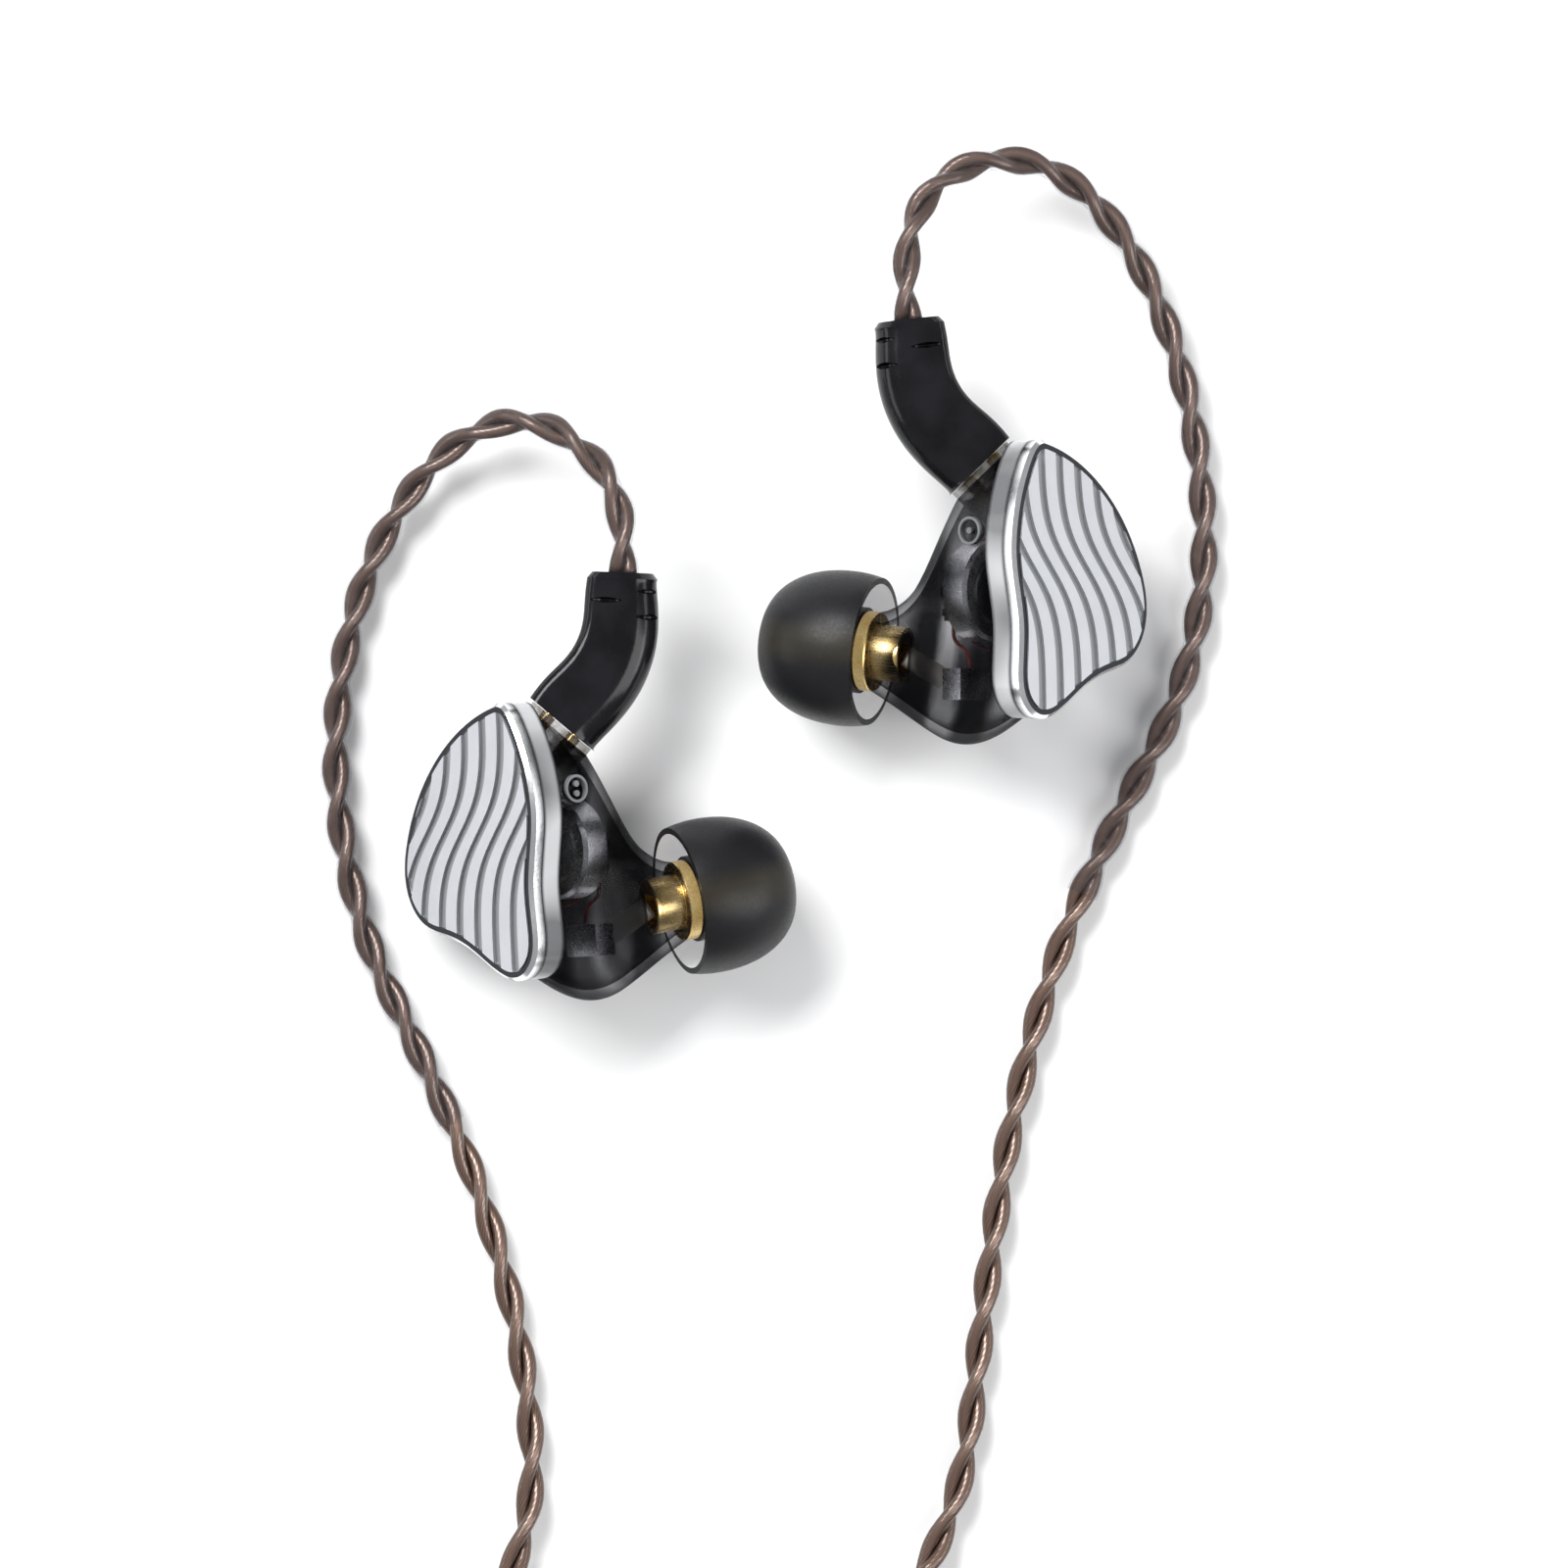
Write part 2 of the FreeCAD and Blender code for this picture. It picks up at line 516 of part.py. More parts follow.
def make_armature():
    can = box(ARMATURE_SIZE, ARMATURE_CENTRE)
    spout = rod(SPOUT_RADIUS, SPOUT_LENGTH, ARMATURE_CENTRE + SPOUT_AT, UP * -1)
    return can.fuse(spout).removeSplitter()


def make_sound_tube(armature):
    """A soft tube from the armature's spout to the nozzle."""
    start = ARMATURE_CENTRE + SPOUT_AT - UP * SPOUT_LENGTH
    end = NECK_CENTRE - NOZZLE_AXIS * NOZZLE_ROOT_DEPTH
    way = end - start
    tube_body = ring(SOUND_TUBE_RADIUS, SOUND_TUBE_BORE, way.Length - 2 * END_GAP, start, way)
    return tube_body.cut(armature)


def make_board():
    chips = [box(size, BOARD_CENTRE + place) for size, place in BOARD_CHIPS]
    return box(BOARD_SIZE, BOARD_CENTRE).fuse(chips).removeSplitter()


def lead(points):
    path = route(points)
    section = Part.Wire(Part.makeCircle(LEAD_RADIUS, points[0], points[1] - points[0]))
    return path.makePipeShell([section], True, False)


def make_wires():
    """Four thin leads: two from the contacts to the board, two on to the drivers."""
    inward = from_bench(PIN_AXIS * -1)
    depth = SOCKET_GAP + CONTACT_LENGTH + END_GAP
    contact_ends = [from_bench(HOOD_BASE - PIN_AXIS * depth + place) for place in pin_places()]
    top_edge = BOARD_CENTRE + V(0.8, BOARD_SIZE[1] / 2 + END_GAP, 0)
    low_edge = BOARD_CENTRE - V(0, BOARD_SIZE[1] / 2 + END_GAP, 0)
    armature_edge = ARMATURE_CENTRE + V(0.9, ARMATURE_SIZE[1] / 2 + END_GAP, -0.3)
    leads = []
    for i, start in enumerate(contact_ends):
        aside = V(0.9 * i, 0.5 * i, 0)
        leads.append(lead([
            start, start + inward * 0.8, V(0.2, 4.3, -6.2) + aside, V(-0.9, 4.1, -8.8) + aside,
            top_edge + V(0.4, 1.5, 0.2) + aside * 0.6, top_edge + V(-0.1 + 0.5 * i, 0, 0),
        ]))
    leads.append(lead([
        low_edge - V(0.6, 0, 0), low_edge + V(-0.8, -1.6, 0.2),
        armature_edge + V(0, 1.4, -0.3), armature_edge,
    ]))
    leads.append(lead([
        low_edge + V(0.6, 0, 0), low_edge + V(1.0, -1.4, 0.3),
        V(-1.4, -5.6, -8.6), V(-1.7, -5.0, -7.7),
    ]))
    return Part.Compound(leads)


# ---- Connector, in the bench frame ------------------------------------------------------------
def pin_places():
    across = PIN_AXIS.cross(UP).normalize()
    return [across * (sign * PIN_SPACING / 2) for sign in (-1, 1)]


def make_socket_block():
    block = to_bench(socket_pocket(0, BLOCK_DEPTH))
    base = HOOD_BASE - PIN_AXIS * SOCKET_GAP
    inward = PIN_AXIS * -1
    return block.cut([rod(CONTACT_RADIUS, BLOCK_DEPTH, base + at, inward) for at in pin_places()])


def make_contacts():
    base = HOOD_BASE - PIN_AXIS * SOCKET_GAP
    bore = PIN_RADIUS + PIN_CLEARANCE
    contacts = []
    for place in pin_places():
        hole_depth = PIN_LENGTH + 0.3
        sleeve = rod(CONTACT_RADIUS, CONTACT_LENGTH, base + place, PIN_AXIS * -1)
        contacts.append(sleeve.cut(rod(bore, hole_depth, base + place, PIN_AXIS * -1)))
    return Part.Compound(contacts)


def make_pins():
    end = PIN_LENGTH + PIN_ROOT
    profile = [(0, 0), (0, PIN_RADIUS), (end - PIN_POINT, PIN_RADIUS), (end, PIN_RADIUS / 2), (end, 0)]
    start = HOOD_BASE + PIN_AXIS * PIN_ROOT
    return Part.Compound([turned(profile, start + place, PIN_AXIS * -1) for place in pin_places()])


def insert_space():
    return stadium(INSERT_WIDTH, INSERT_THICKNESS, PIN_ROOT, HOOD_BASE, PIN_AXIS)


def make_insert():
    holes = [rod(PIN_RADIUS, PIN_ROOT, HOOD_BASE + place, PIN_AXIS) for place in pin_places()]
    return insert_space().cut(holes)


def hood_wire(at, direction, width, thickness):
    """A D section: flat on the inside of the bend, half round on the outside."""
    out = UP.cross(direction).normalize()
    r = thickness / 2
    flat = -width / 2  # the inner face
    eased = flat + HOOD_CORNER_RADIUS
    round_start = width / 2 - r
    side = r - HOOD_CORNER_RADIUS
    bulge = HOOD_CORNER_RADIUS * (1 - math.sqrt(0.5))

    def point(u, v):
        return at + out * u + UP * v

    def line(a, b):
        return Part.LineSegment(point(*a), point(*b)).toShape()

    def arc(a, b, c):
        return Part.Arc(point(*a), point(*b), point(*c)).toShape()

    return Part.Wire([
        line((flat, -side), (flat, side)),
        arc((flat, side), (flat + bulge, r - bulge), (eased, r)),
        line((eased, r), (round_start, r)),
        arc((round_start, r), (round_start + r, 0), (round_start, -r)),
        line((round_start, -r), (eased, -r)),
        arc((eased, -r), (flat + bulge, bulge - r), (flat, -side)),
    ])


def hood_way():
    """The direction of the hood's upper end."""
    return (HOOD_TOP - HOOD_CORNER).normalize()


def hood_stations():
    """Points and directions along the hood's middle line: straight, bend, straight."""
    into = (HOOD_CORNER - HOOD_BASE).normalize()
    out = hood_way()
    turn = into.getAngle(out)
    reach = HOOD_BEND_RADIUS * math.tan(turn / 2)
    start = HOOD_CORNER - into * reach
    centre = start - UP.cross(into).normalize() * HOOD_BEND_RADIUS
    stations = [(HOOD_BASE, into)]
    for i in range(HOOD_BEND_STEPS + 1):
        spin = FreeCAD.Rotation(UP, -math.degrees(turn) * i / HOOD_BEND_STEPS)
        stations.append((centre + spin.multVec(start - centre), spin.multVec(into)))
    stations.append((HOOD_TOP - out * HOOD_END_LENGTH, out))
    return stations


def make_hood():
    stations = hood_stations()
    lengths = [0]
    for (a, _), (b, _) in zip(stations, stations[1:]):
        lengths.append(lengths[-1] + (b - a).Length)
    wires = []
    for (at, direction), length in zip(stations, lengths):
        share = length / lengths[-1]
        width = HOOD_BASE_WIDTH + (HOOD_TOP_WIDTH - HOOD_BASE_WIDTH) * share**1.5
        thickness = HOOD_BASE_THICKNESS + (HOOD_TOP_THICKNESS - HOOD_BASE_THICKNESS) * share
        wires.append(hood_wire(at, direction, width, thickness))
    end_wire = hood_wire(
        HOOD_TOP, hood_way(), HOOD_TOP_WIDTH - HOOD_END_DRAW, HOOD_TOP_THICKNESS - HOOD_END_DRAW
    )
    body = Part.makeLoft(wires, True, False).fuse(Part.makeLoft([wires[-1], end_wire], True, True))
    pins = [rod(PIN_RADIUS, PIN_ROOT, HOOD_BASE + place, PIN_AXIS) for place in pin_places()]
    return body.cut([insert_space()] + pins + flex_notches())


def flex_notches():
    """Lens-shaped bites in the upper and lower face of the hood, so that its end can flex."""
    half = NOTCH_HEIGHT / 2
    lens = turned([(-half, 0), (-half, NOTCH_FLAT), (-NOTCH_RIM, NOTCH_RADIUS),
                   (NOTCH_RIM, NOTCH_RADIUS), (half, NOTCH_FLAT), (half, 0)])
    out = UP.cross(hood_way()).normalize()
    notches = []
    for drop, aside, rise in FLEX_NOTCHES:
        for face in (1, -1):
            centre = HOOD_TOP - hood_way() * drop + out * aside + UP * rise * face
            notches.append(placed(lens, centre, hood_way()))
    return notches


# ---- Cords, in the row frame ------------------------------------------------------------------
def ear_route(side):
    """All corners of an ear cord, from where it leaves its hood to the coil."""
    leaving = [HOOD_TOP, HOOD_TOP + hood_way() * EXIT_RUN[side]]
    return [side_place(Part.Vertex(point), side).Point for point in leaving] + EAR_ROUTES[side]


def tail_route(side):
    """A tail runs straight from the ear cords' coil to the splitter."""
    y = EAR_COIL_CENTRE.y - EAR_TURN_RADII[0 if side == "left" else 1]
    return [V(EAR_COIL_CENTRE.x, y, TAIL_START_Z), V(SPLITTER_START, y, TAIL_END_Z)]


def make_slider():
    """The chin slider: a small rounded bar with a hole for each ear cord."""
    start, end = tail_route("left")
    way = (end - start).normalize()
    length = SLIDER_SIZE[0]
    at = V(SPLITTER_START, TAIL_Y, TAIL_END_Z) - way * (SLIDER_GAP + length)
    bar = box(SLIDER_SIZE, RIGHT * (length / 2))
    long_edges = [e for e in bar.Edges if abs(e.tangentAt(e.FirstParameter).x) > 0.9]
    bar = bar.makeFillet(SLIDER_ROUNDING, long_edges)
    hole_radius = CORD_RADIUS + SLIDER_CLEARANCE
    bar = bar.cut([rod(hole_radius, length, V(0, y, 0), RIGHT) for y in (-TAIL_GAP / 2, TAIL_GAP / 2)])
    bar.Placement = FreeCAD.Placement(at, FreeCAD.Rotation(RIGHT, way))
    return bar


def make_splitter():
    """The barrel where the two ear cords join, and its end cap round the main cord."""
    at = V(SPLITTER_START, TAIL_Y, SPLITTER_RADIUS)
    r = SPLITTER_RADIUS
    body = [(0, 0), (0, r - 0.3), (0.3, r), (SPLITTER_LENGTH, r), (SPLITTER_LENGTH, 0)]
    cap = [(0, 0), (0, r - 0.2), (0.2, r - 0.1), (CAP_LENGTH, CAP_END_RADIUS), (CAP_LENGTH, 0)]
    return turned(body, at, RIGHT), turned(cap, at + RIGHT * SPLITTER_LENGTH, RIGHT)


def coil_ring(centre, radii, cord_radius, height):
    """A neat coil as one ring, from its innermost to its outermost turn."""
    return ring(radii[1] + cord_radius, radii[0] - cord_radius, height, centre)


def make_plug():
    """The 3.5 mm plug: strain relief, barrel, contacts and insulating rings."""
    relief = [
        (0, 0), (0, MAIN_RADIUS + 0.4), (RELIEF_LENGTH, RELIEF_RADIUS), (RELIEF_LENGTH, 0),
    ]
    r = BARREL_RADIUS
    low = r - BARREL_GROOVE
    groove_at = BARREL_GROOVE_START
    barrel = [
        (0, 0), (0, r - 0.8), (0.8, r), (groove_at, r), (groove_at + 0.2, low),
        (groove_at + 0.6, low), (groove_at + 0.8, r), (BARREL_LENGTH - 0.4, r),
        (BARREL_LENGTH, r - 0.4), (BARREL_LENGTH, 0),
    ]
    tip = [
        (0, 0), (0, PLUG_CORE_RADIUS), (PLUG_TIP_START, PLUG_CORE_RADIUS),
        (PLUG_TIP_START, PLUG_RADIUS), (PLUG_TIP_START + 1.5, PLUG_RADIUS),
        (PLUG_TIP_START + 2.2, PLUG_NECK_RADIUS), (PLUG_TIP_START + 3.2, PLUG_HEAD_RADIUS),
        (PLUG_TIP_END - 0.6, PLUG_POINT_RADIUS), (PLUG_TIP_END, 0),
    ]
    barrel_at = PLUG_START + PLUG_WAY * RELIEF_LENGTH
    nose = barrel_at + PLUG_WAY * BARREL_LENGTH
    pieces = {
        "plug_strain_relief": turned(relief, PLUG_START, PLUG_WAY),
        "plug_barrel": turned(barrel, barrel_at, PLUG_WAY),
        "plug_tip": turned(tip, nose, PLUG_WAY),
    }
    starts = [start for _, start, _ in PLUG_CONTACTS[1:]] + [PLUG_TIP_START]
    insulators = []
    for (name, start, end), following in zip(PLUG_CONTACTS, starts):
        at = nose + PLUG_WAY * start
        pieces[name] = ring(PLUG_RADIUS, PLUG_CORE_RADIUS, end - start, at, PLUG_WAY)
        gap_at = nose + PLUG_WAY * end
        insulators.append(ring(PLUG_RADIUS, PLUG_CORE_RADIUS, following - end, gap_at, PLUG_WAY))
    pieces["plug_insulators"] = Part.Compound(insulators)
    return pieces


# ---- Writing the parts ------------------------------------------------------------------------
def monitor_parts(side):
    mark = make_side_mark(1 if side == "left" else 2)
    frame, magnet, diaphragm = make_driver()
    armature = make_armature()
    in_plate_frame = {
        "shell": make_shell(mark), "faceplate_base": make_lid(), "bezel": make_bezel(),
        "faceplate": make_faceplate(), "nozzle": make_nozzle(), "nozzle_mesh": make_nozzle_mesh(),
        "side_mark": mark, "ear_tip": make_ear_tip(), "driver_frame": frame,
        "driver_magnet": magnet, "driver_diaphragm": diaphragm,
        "armature_driver": armature, "sound_tube": make_sound_tube(armature),
        "crossover_board": make_board(), "wires": make_wires(),
    }
    parts = {name: to_bench(shape) for name, shape in in_plate_frame.items()}
    parts["socket_block"] = make_socket_block()
    parts["socket_contacts"] = make_contacts()
    parts["plug_hood"] = make_hood()
    parts["plug_insert"] = make_insert()
    parts["plug_pins"] = make_pins()
    return {f"{side}_{name}": side_place(shape, side) for name, shape in parts.items()}


def cord_parts():
    parts = {}
    for side in SIDES:
        last = SLEEVE_CORNERS[side]
        points = ear_route(side)
        hook = points[:last + 2]
        end = hook[last] + (hook[last + 1] - hook[last]) * SLEEVE_END_SHARE
        outer = tube(f"{side}_hook_sleeve", hook, SLEEVE_RADIUS, end)
        bore = tube(f"{side}_sleeve_bore", hook, SLEEVE_BORE, end)
        parts[f"{side}_hook_sleeve"] = outer.cut(bore)
        parts[f"{side}_ear_cord"] = tube(f"{side}_ear_cord", points, CORD_RADIUS)
        parts[f"{side}_cord_tail"] = tube(f"{side}_cord_tail", tail_route(side), CORD_RADIUS)
    parts["main_cord"] = tube("main_cord", MAIN_ROUTE, MAIN_RADIUS)
    parts["main_cord_tail"] = tube("main_cord_tail", MAIN_TAIL_ROUTE, MAIN_RADIUS)
    parts["ear_cord_coil"] = coil_ring(EAR_COIL_CENTRE, EAR_TURN_RADII, CORD_RADIUS, EAR_COIL_TOP)
    parts["main_cord_coil"] = coil_ring(MAIN_COIL_CENTRE, MAIN_TURN_RADII, MAIN_RADIUS, MAIN_COIL_TOP)
    parts["chin_slider"] = make_slider()
    parts["splitter_body"], parts["splitter_cap"] = make_splitter()
    parts.update(make_plug())
    return parts


def main():
    os.makedirs("parts", exist_ok=True)
    parts = {}
    for side in SIDES:
        parts.update(monitor_parts(side))
    parts.update(cord_parts())
    for name, shape in parts.items():
        if not shape.isValid():
            print(f"{name}: shape is not valid")
        shape.exportStep(f"parts/{name}.step")
    print(f"{len(parts)} parts")


main()
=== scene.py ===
import math

import bpy
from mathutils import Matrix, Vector


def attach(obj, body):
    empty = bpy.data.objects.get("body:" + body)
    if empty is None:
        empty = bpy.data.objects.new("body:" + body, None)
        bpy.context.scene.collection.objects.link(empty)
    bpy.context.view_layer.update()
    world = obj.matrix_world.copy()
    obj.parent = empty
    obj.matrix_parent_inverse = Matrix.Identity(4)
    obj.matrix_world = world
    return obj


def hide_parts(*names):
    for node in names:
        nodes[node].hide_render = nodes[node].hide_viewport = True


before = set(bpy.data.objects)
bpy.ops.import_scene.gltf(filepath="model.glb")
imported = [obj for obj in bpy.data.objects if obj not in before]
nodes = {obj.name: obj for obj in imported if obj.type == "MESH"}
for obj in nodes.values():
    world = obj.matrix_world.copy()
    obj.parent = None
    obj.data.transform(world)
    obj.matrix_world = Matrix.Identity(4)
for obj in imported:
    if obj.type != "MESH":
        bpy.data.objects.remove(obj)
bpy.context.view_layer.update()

UP = Vector((0, 0, 1))
SIDES = ("left", "right")
ROOT = "cable_set"

# ---- Camera ------------------------------------------------------------------------------------
CAMERA_SPOT = (0.0007, -0.0103, 1.008)  # straight above the middle of the view, in metres
VIEW_WIDTH = 0.129  # what the view takes in, one metre away
SENSOR = 36.0


def add_camera():
    data = bpy.data.cameras.new("camera")
    data.sensor_width = SENSOR
    data.lens = SENSOR / VIEW_WIDTH
    camera = bpy.data.objects.new("camera", data)
    camera.location = CAMERA_SPOT
    bpy.context.scene.collection.objects.link(camera)
    bpy.context.scene.camera = camera


# ---- Cord routes, the same points as the CAD tubes ----------------------------------------------
LEFT_START = [
    (0.0109, 0.0278, 0.01044), (0.01017, 0.03456, 0.01044), (0.0144, 0.0408, 0.00844),
    (0.0228, 0.0414, 0.00544), (0.0301, 0.0338, 0.0028), (0.0346, 0.0214, 0.0016),
    (0.0359, 0.0074, 0.00145), (0.0335, -0.0036, 0.00145), (0.0282, -0.0132, 0.00145),
    (0.0230, -0.0246, 0.0014), (0.0191, -0.0396, 0.00125), (0.0170, -0.0556, 0.00125),
    (0.0154, -0.0701, 0.00125), (0.0089, -0.0811, 0.0026), (-0.0016, -0.0876, 0.0046),
    (-0.0126, -0.0916, 0.0061),
]
RIGHT_START = [
    (-0.01253, 0.00704, 0.01044), (-0.01233, 0.01223, 0.01044), (-0.0150, 0.0170, 0.00864),
    (-0.0206, 0.0204, 0.00624), (-0.0274, 0.0178, 0.00344), (-0.0331, 0.0098, 0.0018),
    (-0.0362, -0.0006, 0.00145), (-0.0366, -0.0116, 0.00145), (-0.0342, -0.0230, 0.00145),
    (-0.0299, -0.0316, 0.00145), (-0.0244, -0.0436, 0.0014), (-0.0206, -0.0581, 0.00125),
    (-0.0198, -0.0726, 0.00145), (-0.0278, -0.0862, 0.0048),
]
TAIL_END_X, TAIL_END_Z = 0.0054, 0.0023
MAIN_START = [(0.0184, -0.116825, 0.0031), (0.0234, -0.116825, 0.0031), (0.0292, -0.116825, 0.0014)]
MAIN_END = [
    (0.0439, -0.116825, 0.0042), (0.0534, -0.1202, 0.0039), (0.0574, -0.1296, 0.0037),
    (0.0529, -0.1386, 0.0037), (0.0429, -0.1418, 0.0037), (0.0339, -0.1418, 0.0037),
]

# Coils: the ear cords lie side by side in three layers, the main cord in four columns, two high
EAR_COIL_CENTRE = Vector((-0.0236, -0.1036, 0))
EAR_TURN_RADII = {"left": 0.0120, "right": 0.01445}
EAR_TURN_START = {"left": 90, "right": 140}
EAR_TURN_END = 990
EAR_LAYERS = (0.0061, 0.00365, 0.0012)
MAIN_COIL_CENTRE = Vector((0.0344, -0.0978, 0))
MAIN_COLUMNS = (0.0190, 0.0162, 0.0134, 0.0106)
MAIN_LAYERS = (0.0014, 0.0042)
POINT_STEP = 15  # degrees from one point of a turn to the next
STEP_START, STEP_END = 340, 415  # where the ear cords step down, in degrees of the first turn
SHIFT = 75  # degrees in which the main cord moves to its next column

MAIN_DIAMETER = 0.0028
PITCH_CHANGE = 0.004  # the twist changes over this length, before and after the end of the ear hook
MAP_LENGTH = 0.01  # cord length that one unit of the strands' UV map stands for


def smooth_share(value, low, high):
    """0 before low, 1 after high, and an even S between them."""
    t = min(max((value - low) / (high - low), 0), 1)
    return t * t * (3 - 2 * t)


def on_turn(centre, radius, degrees, height):
    angle = math.radians(degrees)
    return (centre.x + radius * math.cos(angle), centre.y + radius * math.sin(angle), height)


def ear_turns(side):
    """An ear cord's turns: it comes in on the top layer and leaves on the table."""
    drop = EAR_LAYERS[0] - EAR_LAYERS[1]
    points = []
    degrees = EAR_TURN_START[side]
    while degrees < EAR_TURN_END:
        lower = smooth_share(degrees, STEP_START, STEP_END)
        lower += smooth_share(degrees, STEP_START + 360, STEP_END + 360)
        height = EAR_LAYERS[0] - drop * lower
        points.append(on_turn(EAR_COIL_CENTRE, EAR_TURN_RADII[side], degrees, height))
        degrees += POINT_STEP
    points.append(on_turn(EAR_COIL_CENTRE, EAR_TURN_RADII[side], EAR_TURN_END, EAR_LAYERS[-1]))
    return points


def main_turns():
    """The main cord's turns: inwards on the table, then outwards on top of those."""
    lanes = [(r, MAIN_LAYERS[0]) for r in MAIN_COLUMNS] + [(r, MAIN_LAYERS[1]) for r in MAIN_COLUMNS[::-1]]
    points = []
    for i, (radius, height) in enumerate(lanes):
        following = lanes[min(i + 1, len(lanes) - 1)]
        for step in range(360 // POINT_STEP):
            degrees = step * POINT_STEP
            share = smooth_share(degrees, 360 - SHIFT, 360)
            points.append(on_turn(
                MAIN_COIL_CENTRE, radius + (following[0] - radius) * share, degrees - 90,
                height + (following[1] - height) * share,
            ))
    points.append(on_turn(MAIN_COIL_CENTRE, MAIN_COLUMNS[0], -90, MAIN_LAYERS[1]))
    return points


def ear_route(side):
    start = LEFT_START if side == "left" else RIGHT_START
    turns = ear_turns(side)
    return start + turns + [(TAIL_END_X, turns[-1][1], TAIL_END_Z)]


def spline_line(points):
    """Points along the smooth line of a NURBS spline that has these control points."""
    data = bpy.data.curves.new("route", "CURVE")
    data.dimensions = "3D"
    data.resolution_u = 12
    spline = data.splines.new("NURBS")
    spline.points.add(len(points) - 1)
    for slot, point in zip(spline.points, points):
        slot.co = (*point, 1)
    spline.order_u = 3
    spline.use_endpoint_u = True
    holder = bpy.data.objects.new("route", data)
    bpy.context.scene.collection.objects.link(holder)
    mesh = bpy.data.meshes.new_from_object(holder)
    line = [v.co.copy() for v in mesh.vertices]
    bpy.data.objects.remove(holder)
    return line


def evenly(line, gap):
    """The same line with points an even distance apart."""
    spaced = [line[0]]
    left = gap
    for a, b in zip(line, line[1:]):
        run = (b - a).length
        done = left
        while done < run:
            spaced.append(a.lerp(b, done / run))
            done += gap
        left = done - run
    spaced.append(line[-1])
    return spaced


def frames_along(line):
    """Side and up directions at each point of a line that nowhere stands upright."""
    frames = []
    for i in range(len(line)):
        way = (line[min(i + 1, len(line) - 1)] - line[max(i - 1, 0)]).normalized()
        side = way.cross(UP).normalized()
        frames.append((side, side.cross(way)))
    return frames


# ---- Meshes ------------------------------------------------------------------------------------
def add_mesh(name, points, faces, uvs=None):
    mesh = bpy.data.meshes.new(name)
    mesh.from_pydata(points, [], faces)
    if uvs:
        layer = mesh.uv_layers.new(name="along")
        for corner, vertex in zip(layer.data, mesh.loops):
            corner.uv = uvs[vertex.vertex_index]
    mesh.validate()
    for polygon in mesh.polygons:
        polygon.use_smooth = True
    obj = bpy.data.objects.new(name, mesh)
    bpy.context.scene.collection.objects.link(obj)
    return obj


def tube_faces(rings, around, first):
    """Faces of a tube's side and its two flat ends."""
    faces = []
    for i in range(rings - 1):
        for j in range(around):
            a = first + i * around + j
            b = first + i * around + (j + 1) % around
            faces.append((a, b, b + around, a + around))
    faces.append(tuple(first + j for j in reversed(range(around))))
    faces.append(tuple(first + (rings - 1) * around + j for j in range(around)))
    return faces


def twist_angles(line, hook_length, hook_pitch, pitch):
    """How far the strands have turned at each point, as a right-handed twist. It is tighter
    inside the ear hook."""
    angles = []
    angle = 0.0
    done = 0.0
    for i, point in enumerate(line):
        if i:
            step = (point - line[i - 1]).length
            done += step
            share = smooth_share(done, hook_length - PITCH_CHANGE, hook_length + PITCH_CHANGE)
            angle -= 2 * math.pi * step / (hook_pitch + (pitch - hook_pitch) * share)
        angles.append(angle)
    return angles


def add_strands(name, line, angles, count, offset, radius, around=12):
    """Strands that wind round a line, each one a closed tube."""
    frames = frames_along(line)
    points = []
    faces = []
    uvs = []
    for strand in range(count):
        first = len(points)
        phase = 2 * math.pi * strand / count
        done = 0.0
        for i, (point, (side, up), angle) in enumerate(zip(line, frames, angles)):
            if i:
                done += (point - line[i - 1]).length
            turn = angle + phase
            centre = point + (side * math.cos(turn) + up * math.sin(turn)) * offset
            for j in range(around):
                lap = 2 * math.pi * j / around + turn
                points.append(centre + (side * math.cos(lap) + up * math.sin(lap)) * radius)
                uvs.append((done / MAP_LENGTH, j / around))
        faces += tube_faces(len(line), around, first)
    return add_mesh(name, points, faces, uvs)


def add_sleeve(name, line, angles, offset, inner, outer, around=24):
    """A shrink tube that follows the two strands: a rounded slot outside and inside."""
    frames = frames_along(line)
    points = []
    for wall in (outer, inner):
        for point, (side, up), turn in zip(line, frames, angles):
            along = side * math.cos(turn) + up * math.sin(turn)
            across = up * math.cos(turn) - side * math.sin(turn)
            for j in range(around):
                lap = 2 * math.pi * (j + 0.5) / around
                reach = math.copysign(offset, math.cos(lap)) + wall * math.cos(lap)
                points.append(point + along * reach + across * (wall * math.sin(lap)))
    rings = len(line)
    inside = rings * around
    faces = []
    for i in range(rings - 1):
        for j in range(around):
            a = i * around + j
            b = i * around + (j + 1) % around
            faces.append((a, b, b + around, a + around))
            faces.append((inside + a + around, inside + b + around, inside + b, inside + a))
    for ring in (0, rings - 1):
        for j in range(around):
            a = ring * around + j
            b = ring * around + (j + 1) % around
            end = (a, inside + a, inside + b, b)
            faces.append(end if ring == 0 else end[::-1])
    return add_mesh(name, points, faces)


